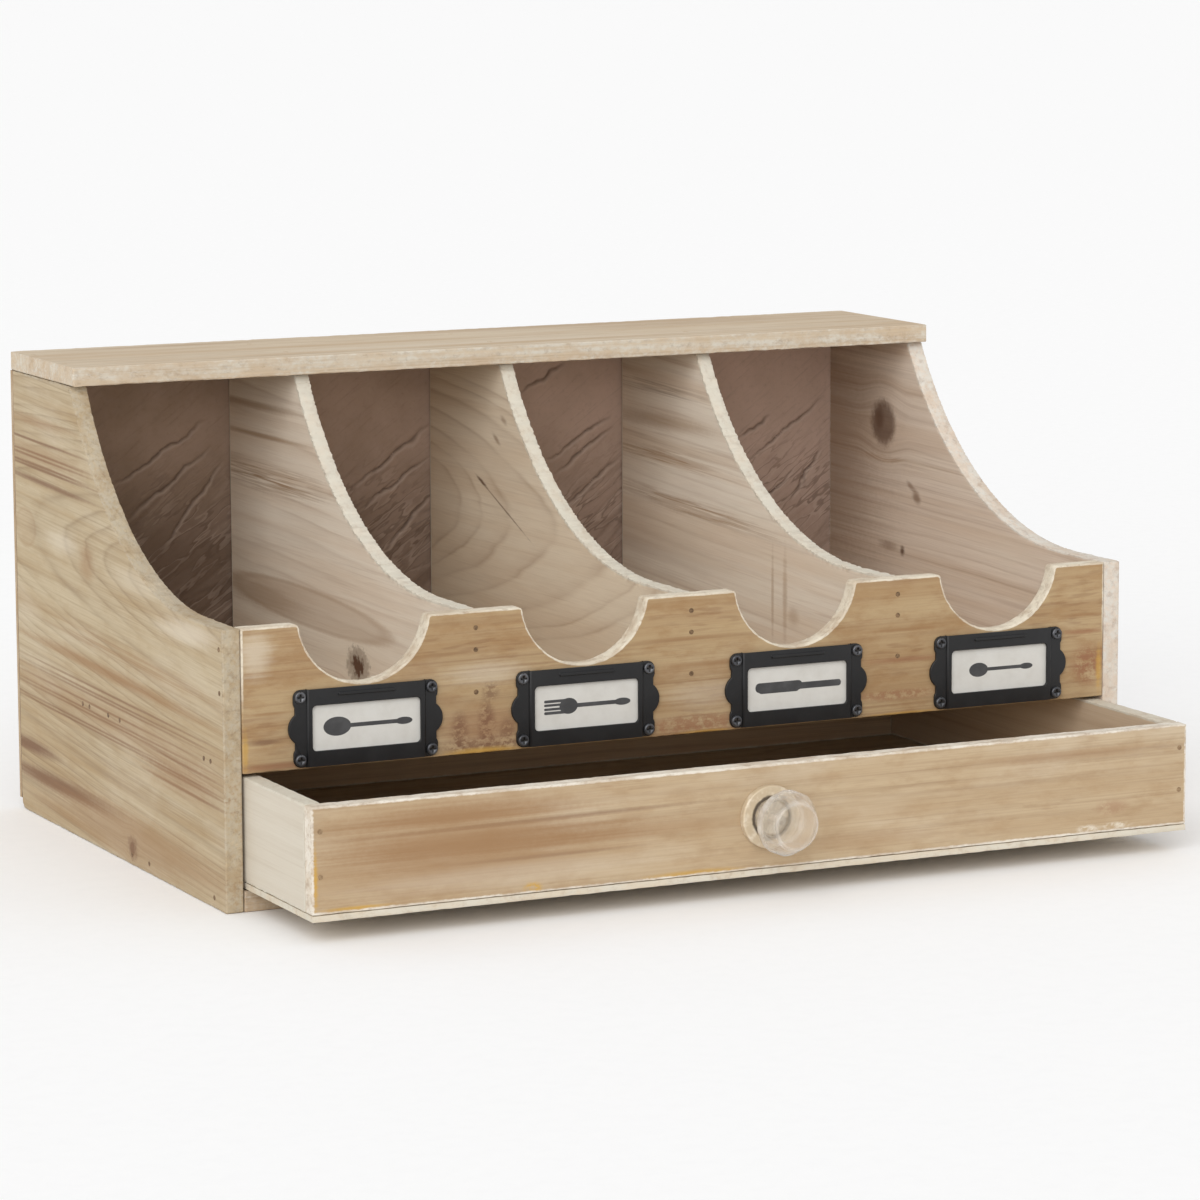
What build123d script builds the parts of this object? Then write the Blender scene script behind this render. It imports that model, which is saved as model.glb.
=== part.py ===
from build123d import *

import os
from math import radians, sqrt, tan

# Wooden cutlery caddy: four open compartments over one drawer, with a label frame on the rail below
# each compartment. Millimetres: X runs to the right, Y to the back and Z up. The origin is the centre
# of the underside of the carcass, and the drawer is modelled partly open.

# Carcass boards
carcass_width = 450.0
carcass_depth = 270.0
carcass_height = 220.0
side_thickness = 8.5
rail_thickness = 8.5
top_thickness = 9.0
top_overhang = 5.4
base_thickness = 9.5
floor_thickness = 8.0
back_thickness = 3.0
back_lift = 5.0
heel_radius = 4.0
bay_height = 51.0

# Sweep of the sides and dividers: level behind the rail, then a hollow arc up to the top board
front_height = 124.0
front_land = 39.0
sweep_radius = 170.0

# Dividers, set a little askew so that their rear ends stand to the left
divider_names = ["divider_left", "divider_middle", "divider_right"]
divider_thickness = 7.3
divider_skew = 1.3
end_margin = 4.5

# Finger scoops in the rail
scoop_width = 61.0
scoop_depth = 27.5
scoop_corner_radius = 1.8

# Drawer
drawer_opening = 74.0
drawer_rear_gap = 1.0
drawer_side_gap = 1.0
drawer_top_gap = 1.3
drawer_running_gap = 0.3
drawer_front_thickness = 8.0
drawer_side_thickness = 8.0
drawer_back_thickness = 8.0
drawer_bottom_thickness = 3.0

# Label frames
holder_height = 34.0
holder_lift = 1.0
holder_flange_thickness = 1.2
holder_face_thickness = 1.2
holder_box_width = 56.0
holder_box_chamfer = 0.6
holder_ear_width = 9.0
holder_ear_height = 9.0
holder_ear_radius = 3.4
ear_reach = 6.0
waist_reach = 5.3
bulge_reach = 8.4
holder_bulge_radius = 7.5
window_margin = 2.5
window_height = 20.0
window_radius = 2.0
window_drop = 0.2
pocket_depth = 1.0
pocket_wall = 1.0
pocket_ledge = 2.4
lip_width = 27.0
lip_height = 1.4
lip_radius = 0.6
lip_thickness = 0.8
lip_drop = 2.6

# Label cards
card_thickness = 0.5
card_height = 30.5
card_gap = 0.3

# Cross-head screws of the label frames
screw_inset_x = 3.0
screw_inset_z = 3.2
screw_radius = 1.1
screw_length = 7.2
screw_head_radius = 2.6
screw_head_height = 1.2
screw_head_round = 0.7
screw_slot_length = 3.2
screw_slot_width = 0.8
screw_slot_depth = 0.6

# Nails, and the finer tacks of the thin panels
nail_radius = 0.7
nail_length = 24.0
nail_head_radius = 1.1
nail_head_height = 0.8
tack_radius = 0.6
tack_length = 11.0
tack_head_radius = 1.8
tack_head_height = 0.6
fastener_slack = 0.05

# Where the nails stand: runs back from the front of the carcass, drops below the rail or drawer top, and
# for the dividers shares of the height of their front ends
floor_nail_runs = (16.0, 24.0, 129.0, 144.0, 169.0, 178.0)
base_nail_runs = (14.0, 94.0, 116.0)
rail_end_nail_drops = (9.0, 28.0)
divider_nail_shares = (0.35, 0.69, 0.865)
top_nail_inset = 18.0
upright_tack_count = 3
drawer_nail_drops = (10.7, 30.1)
drawer_tack_inset = 24.0

# Glass knob with its metal collar and through bolt
knob_foot_radius = 8.5
knob_neck_radius = 7.6
knob_neck_height = 7.0
knob_head_radius = 15.0
knob_head_height = 14.0
knob_face_radius = 10.0
knob_height = 24.0
knob_dish_depth = 1.2
knob_facet_count = 8
knob_facet_cut = 0.8
knob_socket_depth = 9.0
collar_radius = 14.0
collar_height = 3.0
collar_round = 0.9
bolt_radius = 2.0
bolt_end = 1.5
bolt_slack = 0.2
washer_radius = 5.5
washer_thickness = 1.0
nut_flats = 7.0
nut_thickness = 3.2

# Planes and heights that several pieces share
front_y = -carcass_depth / 2
rear_y = carcass_depth / 2
panel_y = rear_y - back_thickness
rail_back_y = front_y + rail_thickness
side_x = carcass_width / 2
inner_x = side_x - side_thickness
top_underside = carcass_height - top_thickness
floor_underside = base_thickness + bay_height
floor_top = floor_underside + floor_thickness
sweep_start_y = front_y + front_land
sweep_rise = top_underside - front_height
sweep_end_y = sweep_start_y + sqrt(sweep_radius**2 - (sweep_radius - sweep_rise) ** 2)
top_front_y = sweep_end_y - top_overhang

# The compartments stand side by side, evenly about the middle
compartment_count = len(divider_names) + 1
compartment_pitch = 2 * (inner_x - end_margin) / compartment_count
stations = [(index - (compartment_count - 1) / 2) * compartment_pitch for index in range(compartment_count)]
divider_fronts = [station + compartment_pitch / 2 for station in stations[:-1]]

# Label frames and their screws, from the lower edge of the rail
holder_centre_z = floor_underside + holder_lift + holder_height / 2
holder_width = holder_box_width + 2 * ear_reach
screw_reach_x = holder_width / 2 - screw_inset_x
screw_reach_z = holder_height / 2 - screw_inset_z

# Drawer box at rest
drawer_x = inner_x - drawer_side_gap
drawer_front_y = front_y - drawer_opening
drawer_box_y = drawer_front_y + drawer_front_thickness
drawer_rear_y = panel_y - drawer_rear_gap - drawer_opening
drawer_bottom_z = base_thickness + drawer_running_gap
drawer_box_z = drawer_bottom_z + drawer_bottom_thickness
drawer_top_z = floor_underside - drawer_top_gap
drawer_side_x = drawer_x - drawer_side_thickness
drawer_back_y = drawer_rear_y - drawer_back_thickness

# Shapes of the two fasteners: shank radius, length, head radius, head height
nail = (nail_radius, nail_length, nail_head_radius, nail_head_height)
tack = (tack_radius, tack_length, tack_head_radius, tack_head_height)

left, right, back, down, up = (-1, 0, 0), (1, 0, 0), (0, 1, 0), (0, 0, -1), (0, 0, 1)
forward = (0, -1, 0)


def block(x_span, y_span, z_span):
    """A square-edged board between two values on each axis."""
    low = Vector(x_span[0], y_span[0], z_span[0])
    high = Vector(x_span[1], y_span[1], z_span[1])
    size = high - low
    return Pos((low + high) * 0.5) * Box(size.X, size.Y, size.Z)


def fastener(place, direction, shape, slack=0.0):
    """A nail or tack whose head is flush at place and whose shank runs along direction."""
    shank_radius, length, head_radius, head_height = shape
    seat = Plane(origin=place, z_dir=direction)
    shank = extrude(seat * Circle(shank_radius + slack), length + slack)
    head = extrude(seat * Circle(head_radius + slack), head_height + slack)
    return shank + head


def drilled(board, sets):
    """The board with a hole for every fastener of the given sets."""
    holes = [
        fastener(place, direction, shape, fastener_slack)
        for places, direction, shape in sets
        for place in places
    ]
    return board - holes


def group(sets):
    """All the fasteners of the given sets, as separate solids."""
    return Compound(
        [fastener(place, direction, shape).solid() for places, direction, shape in sets for place in places]
    )


def divider_centre(front_x, y):
    """X of the middle of a divider at a given depth, from where it meets the rail."""
    return front_x - (y - rail_back_y) * tan(radians(divider_skew))


# Fastener places
def side_sets(sign):
    """Nails through one side board into the floor, the base and the end of the rail."""
    face_x = sign * side_x
    floor_z = (floor_underside + floor_top) / 2
    into_floor = [(face_x, front_y + run, floor_z) for run in floor_nail_runs]
    into_base = [(face_x, front_y + run, base_thickness / 2) for run in base_nail_runs]
    into_rail = [(face_x, front_y + rail_thickness / 2, front_height - drop) for drop in rail_end_nail_drops]
    inward = right if sign < 0 else left
    return [(into_floor + into_base + into_rail, inward, nail)]


def rail_sets():
    """Nails through the rail into the front ends of the dividers."""
    heights = [floor_top + share * (front_height - floor_top) for share in divider_nail_shares]
    places = [(x, front_y, z) for x in divider_fronts for z in heights]
    return [(places, back, nail)]


def top_sets():
    """Nails through the top board into the sides and the dividers."""
    runs = (sweep_end_y + top_nail_inset, panel_y - top_nail_inset)
    edge_x = side_x - side_thickness / 2
    places = [(sign * edge_x, y, carcass_height) for sign in (-1, 1) for y in runs]
    places += [(divider_centre(x, y), y, carcass_height) for x in divider_fronts for y in runs]
    return [(places, down, nail)]


def back_sets():
    """Tacks through the back panel into the sides, the dividers, the floor and the base."""
    edge_x = side_x - side_thickness / 2
    upright_x = [-edge_x, edge_x] + [divider_centre(x, panel_y) for x in divider_fronts]
    tack_step = (top_underside - floor_top) / upright_tack_count
    heights = [floor_top + (index + 0.5) * tack_step for index in range(upright_tack_count)]
    places = [(x, rear_y, height) for x in upright_x for height in heights]
    base_z = (back_lift + base_thickness) / 2
    floor_z = (floor_underside + floor_top) / 2
    places += [(x, rear_y, z) for x in stations for z in (base_z, floor_z)]
    return [(places, forward, tack)]


def drawer_nail_sets():
    """Nails through the drawer front into its sides, and through the sides into its back."""
    edge_x = drawer_x - drawer_side_thickness / 2
    heights = [drawer_top_z - drop for drop in drawer_nail_drops]
    front_places = [(sign * edge_x, drawer_front_y, z) for sign in (-1, 1) for z in heights]
    back_middle_y = drawer_rear_y - drawer_back_thickness / 2
    left_places = [(-drawer_x, back_middle_y, z) for z in heights]
    right_places = [(drawer_x, back_middle_y, z) for z in heights]
    return [(front_places, back, nail), (left_places, right, nail), (right_places, left, nail)]


def drawer_tack_sets():
    """Tacks up through the drawer bottom into the front, the back and the sides."""
    front_middle_y = drawer_front_y + drawer_front_thickness / 2
    back_middle_y = drawer_rear_y - drawer_back_thickness / 2
    edge_x = drawer_x - drawer_side_thickness / 2
    reach_x = drawer_side_x - drawer_tack_inset
    side_runs = (drawer_box_y + drawer_tack_inset, drawer_back_y - drawer_tack_inset)
    end_runs = (front_middle_y, back_middle_y)
    places = [(x, y, drawer_bottom_z) for x in (-reach_x, 0.0, reach_x) for y in end_runs]
    places += [(sign * edge_x, y, drawer_bottom_z) for sign in (-1, 1) for y in side_runs]
    return [(places, up, tack)]


# Carcass
def swept_outline(front, rear, bottom):
    """Outline of a side or divider in the YZ plane: level at the front, then the hollow sweep to the top."""
    edges = Polyline(
        (sweep_start_y, front_height),
        (front, front_height),
        (front, bottom),
        (rear, bottom),
        (rear, top_underside),
        (sweep_end_y, top_underside),
    )
    sweep = TangentArc((sweep_start_y, front_height), (sweep_end_y, top_underside), tangent=(1, 0))
    return make_face(edges + sweep)


def make_side(sign):
    """A side board, with its lower rear corner rounded."""
    outer_plane = Plane.YZ.offset(-side_x if sign < 0 else inner_x)
    board = extrude(outer_plane * swept_outline(front_y, panel_y, 0.0), side_thickness)
    heel = board.edges().filter_by(Axis.X).group_by(Axis.Z)[0].sort_by(Axis.Y)[-1]
    board = fillet(heel, heel_radius)
    return drilled(board, side_sets(sign) + top_sets() + back_sets())


def make_divider(front_x):
    """A divider, turned by its skew and trimmed square to the rail, back, floor and top."""
    outline = swept_outline(front_y, rear_y, 0.0)
    slab = extrude(Plane.YZ.offset(-divider_thickness / 2) * outline, divider_thickness)
    turned = Pos(front_x, rail_back_y, 0) * Rot(0, 0, divider_skew) * Pos(0, -rail_back_y, 0) * slab
    room = block((-inner_x, inner_x), (rail_back_y, panel_y), (floor_top, top_underside))
    return drilled(turned & room, rail_sets() + top_sets() + back_sets())


def make_rail():
    """The front rail with its half-round scoops and the pilot holes of the label screws."""
    board = block((-inner_x, inner_x), (front_y, rail_back_y), (floor_underside, front_height))
    scoop_radius = (scoop_width**2 / 4 + scoop_depth**2) / (2 * scoop_depth)
    scoop_centre_z = front_height - scoop_depth + scoop_radius
    front_plane = Plane(origin=(0, front_y, 0), x_dir=right, z_dir=back)
    for x in stations:
        scoop = front_plane * Pos(x, -scoop_centre_z) * Circle(scoop_radius)
        board -= extrude(scoop, rail_thickness)
    rims = board.edges().filter_by(Axis.Y).group_by(Axis.Z)[-1].sort_by(Axis.X)
    board = fillet(rims[1:-1], scoop_corner_radius)
    pilots = [
        extrude(front_plane * Pos(x, -z) * Circle(screw_radius + fastener_slack), screw_length)
        for x, z in screw_places()
    ]
    return drilled(board - pilots, rail_sets() + side_sets(-1) + side_sets(1))


def make_top_board():
    """The top board over the sides, the dividers and the back panel."""
    board = block((-side_x, side_x), (top_front_y, rear_y), (top_underside, carcass_height))
    return drilled(board, top_sets())


def make_back_panel():
    """The thin panel on the rear edges of the sides, under the top board."""
    board = block((-side_x, side_x), (panel_y, rear_y), (back_lift, top_underside))
    return drilled(board, back_sets())


def make_base_board():
    """The board between the sides that the drawer runs on."""
    board = block((-inner_x, inner_x), (front_y, panel_y), (0.0, base_thickness))
    return drilled(board, side_sets(-1) + side_sets(1) + back_sets())


def make_floor():
    """The floor of the compartments, behind the rail."""
    board = block((-inner_x, inner_x), (rail_back_y, panel_y), (floor_underside, floor_top))
    return drilled(board, side_sets(-1) + side_sets(1) + back_sets())


# Label frames, cards and screws
def screw_places():
    """X and Z of every label screw."""
    return [
        (x + side * screw_reach_x, holder_centre_z + level * screw_reach_z)
        for x in stations
        for side in (-1, 1)
        for level in (-1, 1)
    ]


def rail_face(x, z):
    """A plane on the face of the rail that looks out of it, with its own up along Z."""
    return Plane(origin=(x, front_y, z), x_dir=right, z_dir=forward)


def holder_outline():
    """Outline of a label frame: four rounded ears with a bulge between them at each end."""
    outline = Rectangle(holder_box_width + 2 * waist_reach, holder_height - holder_ear_height)
    bulge_x = holder_box_width / 2 + bulge_reach - holder_bulge_radius
    ear_x = (holder_width - holder_ear_width) / 2
    ear_z = (holder_height - holder_ear_height) / 2
    for side in (-1, 1):
        outline += Pos(side * bulge_x, 0) * Circle(holder_bulge_radius)
        for level in (-1, 1):
            ear = RectangleRounded(holder_ear_width, holder_ear_height, holder_ear_radius)
            outline += Pos(side * ear_x, level * ear_z) * ear
    return outline


def make_holder(x):
    """A label frame: a flange on the rail and a raised box with a window and a pocket open at the top."""
    box_height = pocket_depth + holder_face_thickness
    frame = extrude(holder_outline(), holder_flange_thickness)
    raised = extrude(Rectangle(holder_box_width, holder_height), box_height)
    rims = raised.edges().filter_by(Axis.Y).group_by(Axis.Z)[-1]
    frame += chamfer(rims, holder_box_chamfer)
    lip_z = holder_height / 2 - lip_drop
    lip = extrude(RectangleRounded(lip_width, lip_height, lip_radius), lip_thickness)
    frame += Pos(0, lip_z, box_height) * lip
    pocket_width = holder_box_width - 2 * pocket_wall
    pocket_height = holder_height - pocket_ledge
    pocket = extrude(Rectangle(pocket_width, pocket_height), pocket_depth)
    frame -= Pos(0, pocket_ledge / 2, 0) * pocket
    window_width = holder_box_width - 2 * window_margin
    window = extrude(RectangleRounded(window_width, window_height, window_radius), box_height)
    frame -= Pos(0, -window_drop, 0) * window
    for side in (-1, 1):
        for level in (-1, 1):
            hole = extrude(Circle(screw_radius + bolt_slack), holder_flange_thickness)
            frame -= Pos(side * screw_reach_x, level * screw_reach_z, 0) * hole
    return rail_face(x, holder_centre_z) * frame


def make_card(x):
    """A label card standing on the ledge of its pocket."""
    width = holder_box_width - 2 * pocket_wall - 2 * card_gap
    ledge_z = holder_centre_z - holder_height / 2 + pocket_ledge
    middle_y = front_y - pocket_depth / 2
    return block(
        (x - width / 2, x + width / 2),
        (middle_y - card_thickness / 2, middle_y + card_thickness / 2),
        (ledge_z, ledge_z + card_height),
    )


def make_screw(x, z):
    """A label screw with a domed cross-slotted head, seated on the flange of its frame."""
    head = Cylinder(screw_head_radius, screw_head_height, align=(Align.CENTER, Align.CENTER, Align.MIN))
    head = fillet(head.edges().group_by(Axis.Z)[-1], screw_head_round)
    slots = Rectangle(screw_slot_length, screw_slot_width) + Rectangle(screw_slot_width, screw_slot_length)
    head -= Pos(0, 0, screw_head_height - screw_slot_depth) * extrude(slots, screw_slot_depth)
    shank = Cylinder(screw_radius, screw_length, align=(Align.CENTER, Align.CENTER, Align.MAX))
    return rail_face(x, z) * Pos(0, 0, holder_flange_thickness) * (head + shank)


# Drawer
def drawer_centre_z():
    """Height of the middle of the drawer front."""
    return (drawer_box_z + drawer_top_z) / 2


def make_drawer_front():
    """The full-width front, drilled for the knob's bolt."""
    board = block((-drawer_x, drawer_x), (drawer_front_y, drawer_box_y), (drawer_box_z, drawer_top_z))
    bolt_plane = Plane(origin=(0, drawer_front_y, drawer_centre_z()), z_dir=back)
    board -= extrude(bolt_plane * Circle(bolt_radius + bolt_slack), drawer_front_thickness)
    return drilled(board, drawer_nail_sets() + drawer_tack_sets())


def make_drawer_side(sign):
    """A drawer side, from the back of the front to the rear of the drawer."""
    outer_x = sign * drawer_x
    inside_x = sign * drawer_side_x
    board = block(sorted((outer_x, inside_x)), (drawer_box_y, drawer_rear_y), (drawer_box_z, drawer_top_z))
    return drilled(board, drawer_nail_sets() + drawer_tack_sets())


def make_drawer_back():
    """The drawer back, between the sides."""
    height = (drawer_box_z, drawer_top_z)
    board = block((-drawer_side_x, drawer_side_x), (drawer_back_y, drawer_rear_y), height)
    return drilled(board, drawer_nail_sets() + drawer_tack_sets())


def make_drawer_bottom():
    """The thin bottom under the whole drawer box."""
    board = block((-drawer_x, drawer_x), (drawer_front_y, drawer_rear_y), (drawer_bottom_z, drawer_box_z))
    return drilled(board, drawer_tack_sets())


# Knob, along its own axis from the face of the drawer
def on_drawer_face(piece):
    """A piece modelled along Z, set on the face of the drawer front and pointing out of it."""
    return Plane(origin=(0, drawer_front_y, drawer_centre_z()), x_dir=right, z_dir=forward) * piece


def bolt_hole(height):
    """A cutter for the bolt, from the drawer face up to a height on the knob's axis."""
    return Cylinder(bolt_radius + fastener_slack, height, align=(Align.CENTER, Align.CENTER, Align.MIN))


def make_knob():
    """The faceted glass knob: a waisted stem, a swelling head and a dished face."""
    outline = Polyline(
        (0, knob_height - knob_dish_depth),
        (0, 0),
        (knob_foot_radius, 0),
    )
    stem = ThreePointArc(
        (knob_foot_radius, 0),
        (knob_neck_radius, knob_neck_height / 2),
        (knob_foot_radius, knob_neck_height),
    )
    swell = Line((knob_foot_radius, knob_neck_height), (knob_head_radius, knob_head_height))
    crown = Line((knob_head_radius, knob_head_height), (knob_face_radius, knob_height))
    dish = TangentArc((0, knob_height - knob_dish_depth), (knob_face_radius, knob_height), tangent=(1, 0))
    body = revolve(Plane.XZ * make_face(outline + stem + swell + crown + dish), Axis.Z)
    facet_reach = knob_head_radius - knob_facet_cut
    facets = extrude(RegularPolygon(facet_reach, knob_facet_count, major_radius=False), knob_height)
    glass = (body & facets) - bolt_hole(knob_socket_depth)
    return on_drawer_face(Pos(0, 0, collar_height) * glass)


def make_collar():
    """The metal ring between the glass and the drawer front."""
    ring = Cylinder(collar_radius, collar_height, align=(Align.CENTER, Align.CENTER, Align.MIN))
    ring = fillet(ring.edges().group_by(Axis.Z)[-1], collar_round)
    return on_drawer_face(ring - bolt_hole(collar_height))


def make_washer():
    """The washer against the inside of the drawer front."""
    ring = extrude(Circle(washer_radius) - Circle(bolt_radius + fastener_slack), -washer_thickness)
    return on_drawer_face(Pos(0, 0, -drawer_front_thickness) * ring)


def make_nut():
    """The hexagon nut on the washer."""
    hexagon = RegularPolygon(nut_flats / 2, 6, major_radius=False) - Circle(bolt_radius + fastener_slack)
    nut = extrude(hexagon, -nut_thickness)
    return on_drawer_face(Pos(0, 0, -drawer_front_thickness - washer_thickness) * nut)


def make_bolt():
    """The bolt from the socket in the glass to just past the nut."""
    tail = drawer_front_thickness + washer_thickness + nut_thickness + bolt_end
    length = tail + collar_height + knob_socket_depth
    bolt = Cylinder(bolt_radius, length, align=(Align.CENTER, Align.CENTER, Align.MIN))
    return on_drawer_face(Pos(0, 0, -tail) * bolt)


def build_nodes():
    """Every piece of the caddy by its name."""
    nodes = {
        "left_side": make_side(-1),
        "right_side": make_side(1),
        "top_board": make_top_board(),
        "back_panel": make_back_panel(),
        "base_board": make_base_board(),
        "compartment_floor": make_floor(),
        "front_rail": make_rail(),
        "side_nails": group(side_sets(-1) + side_sets(1)),
        "rail_nails": group(rail_sets()),
        "top_nails": group(top_sets()),
        "back_tacks": group(back_sets()),
        "label_screws": Compound([make_screw(x, z).solid() for x, z in screw_places()]),
        "drawer_front": make_drawer_front(),
        "drawer_left_side": make_drawer_side(-1),
        "drawer_right_side": make_drawer_side(1),
        "drawer_back": make_drawer_back(),
        "drawer_bottom": make_drawer_bottom(),
        "drawer_nails": group(drawer_nail_sets()),
        "drawer_tacks": group(drawer_tack_sets()),
        "knob": make_knob(),
        "knob_collar": make_collar(),
        "knob_washer": make_washer(),
        "knob_nut": make_nut(),
        "knob_bolt": make_bolt(),
    }
    for name, x in zip(divider_names, divider_fronts):
        nodes[name] = make_divider(x)
    for number, x in enumerate(stations, start=1):
        nodes[f"label_holder_{number}"] = make_holder(x)
        nodes[f"label_card_{number}"] = make_card(x)
    return nodes


os.makedirs("parts", exist_ok=True)
for name, piece in build_nodes().items():
    export_step(piece, f"parts/{name}.step")
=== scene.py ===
"""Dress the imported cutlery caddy: worn fir boards, a creased facing, black label frames and a glass knob."""

import logging
import math
from dataclasses import dataclass, field
from enum import Enum
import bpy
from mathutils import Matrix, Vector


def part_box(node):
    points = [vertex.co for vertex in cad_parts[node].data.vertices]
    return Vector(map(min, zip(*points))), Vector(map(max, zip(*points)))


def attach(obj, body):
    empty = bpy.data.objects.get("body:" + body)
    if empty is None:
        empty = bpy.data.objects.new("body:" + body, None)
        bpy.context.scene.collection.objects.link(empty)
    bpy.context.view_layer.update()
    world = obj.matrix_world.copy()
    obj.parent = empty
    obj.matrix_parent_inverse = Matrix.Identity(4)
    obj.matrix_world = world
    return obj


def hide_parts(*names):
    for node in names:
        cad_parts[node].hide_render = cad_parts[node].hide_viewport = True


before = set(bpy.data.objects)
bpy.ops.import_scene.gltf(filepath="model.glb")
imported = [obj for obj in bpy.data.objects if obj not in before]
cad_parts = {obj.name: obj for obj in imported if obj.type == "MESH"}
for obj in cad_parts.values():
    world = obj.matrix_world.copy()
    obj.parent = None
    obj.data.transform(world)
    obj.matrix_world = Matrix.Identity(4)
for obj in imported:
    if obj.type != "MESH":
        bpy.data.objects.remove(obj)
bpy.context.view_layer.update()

from types import SimpleNamespace
from typing import Iterable, Sequence, Union

import bmesh
import bpy
from bmesh.types import BMEdge, BMesh, BMVert
from bpy.types import Material
from mathutils import Matrix, Vector, noise

LOG = logging.getLogger("caddy")
MM = 0.001
HAIR = 1e-6
FLAT_AREA = 14 * MM * MM
SHARP = math.radians(30)
SHADED_SHARP = math.radians(38)
BUMP = 0.6
WEAR_SEED = 1
RING_CURVE = ((0.0, 0.4), (0.07, 0.0), (0.45, 0.06), (0.78, 0.38), (0.93, 1.0), (1.0, 0.4))
Colour = tuple[float, float, float, float]


def light(level: int) -> float:
    """A channel of a colour on a screen, 0 to 255, as linear light."""
    share = level / 255
    return share / 12.92 if share <= 0.04045 else ((share + 0.055) / 1.055) ** 2.4


def paint(red: int, green: int, blue: int) -> Colour:
    """A colour as it looks on a screen, 0 to 255 a channel, as linear light."""
    return (light(red), light(green), light(blue), 1.0)


def clamp(value: float, low: float = 0.0, high: float = 1.0) -> float:
    """A value held between two others."""
    return min(max(value, low), high)


def bell(off: float, width: float) -> float:
    """1 in the middle, falling away over a width on either side."""
    return math.exp(-((off / width) ** 2))


class Body(Enum):
    """The bodies that pieces ride on, apart from the four cards."""

    CARCASS = "carcass"
    DRAWER = "drawer"


class Grain(Enum):
    """The way a board's grain runs, as the axes along it, across its face and through its thickness."""

    UPRIGHT_DEEP = (1, 2, 0)
    UPRIGHT_WIDE = (0, 2, 1)
    LYING_WIDE = (0, 1, 2)

    @property
    def along(self) -> int:
        """The axis along the grain."""
        return self.value[0]


class Tint(Enum):
    """The colours of the spots on a board."""

    KNOT = paint(96, 70, 54)
    BROWN = paint(150, 115, 80)
    UMBER = paint(124, 94, 72)
    OCHRE = paint(196, 154, 72)
    PALE = paint(216, 205, 186)
    RED = paint(148, 104, 76)


class Mark(Enum):
    """The ways that a spot lies on a board."""

    SMUDGE = "soft and ragged"
    STREAKS = "thin lines along the grain"
    LOOP = "a growth ring cut slantwise"
    KNOT = "a smooth knot that the grain flows round"
    BURL = "a cracked knot that the grain flows round"
    FLECKS = "a patch of ragged flecks"


class Lump(Enum):
    """A board's noise fields: seed, length along the grain, width across it in mm, detail and roughness."""

    STREAK = (1, 190, 1.4, 2.0, 0.5)
    RAGGED = (2, 2.6, 1.8, 4.0, 0.65)
    CLOUD = (3, 90, 24, 4.0, 0.6)
    FIBRE = (4, 24, 0.6, 3.0, 0.6)
    SWAY = (5, 190, 50, 2.0, 0.5)
    WOBBLE = (6, 60, 7, 2.0, 0.5)
    FADE = (8, 150, 14, 2.0, 0.5)
    BAND = (9, 300, 9, 3.0, 0.5)
    CLUSTER = (10, 420, 15, 2.0, 0.5)
    PATCH = (11, 55, 16, 2.0, 0.5)
    DASH = (12, 13, 1.9, 1.0, 0.5)
    THREAD = (13, 120, 0.85, 2.0, 0.5)
    BLOTCH = (14, 20, 8, 5.0, 0.65)
    FLECK = (15, 4, 3, 5.0, 0.7)


class Term:
    """A value in a material's node tree, with arithmetic that adds nodes to the tree."""

    def __init__(self, graph: "Graph", socket: bpy.types.NodeSocket) -> None:
        """Keep the tree and the socket that gives the value."""
        self.graph = graph
        self.socket = socket

    def __add__(self, other: "Value") -> "Term":
        """This plus another value."""
        return self.graph.math("ADD", self, other)

    def __sub__(self, other: "Value") -> "Term":
        """This minus another value."""
        return self.graph.math("SUBTRACT", self, other)

    def __mul__(self, other: "Value") -> "Term":
        """This times another value."""
        return self.graph.math("MULTIPLY", self, other)

    def __truediv__(self, other: float) -> "Term":
        """This over a number."""
        return self.graph.math("DIVIDE", self, other)

    def smooth(self, low: float, high: float) -> "Term":
        """Ease from 0 to 1 as the value goes from one level to another.

        Args:
            low: The level that gives 0, which may be the higher one.
            high: The level that gives 1.

        Returns:
            The eased share.
        """
        inputs = {0: self, 1: low, 2: high}
        node = self.graph.add("ShaderNodeMapRange", inputs, interpolation_type="SMOOTHSTEP")
        return Term(self.graph, node.outputs[0])


Value = Union[Term, float]


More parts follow.
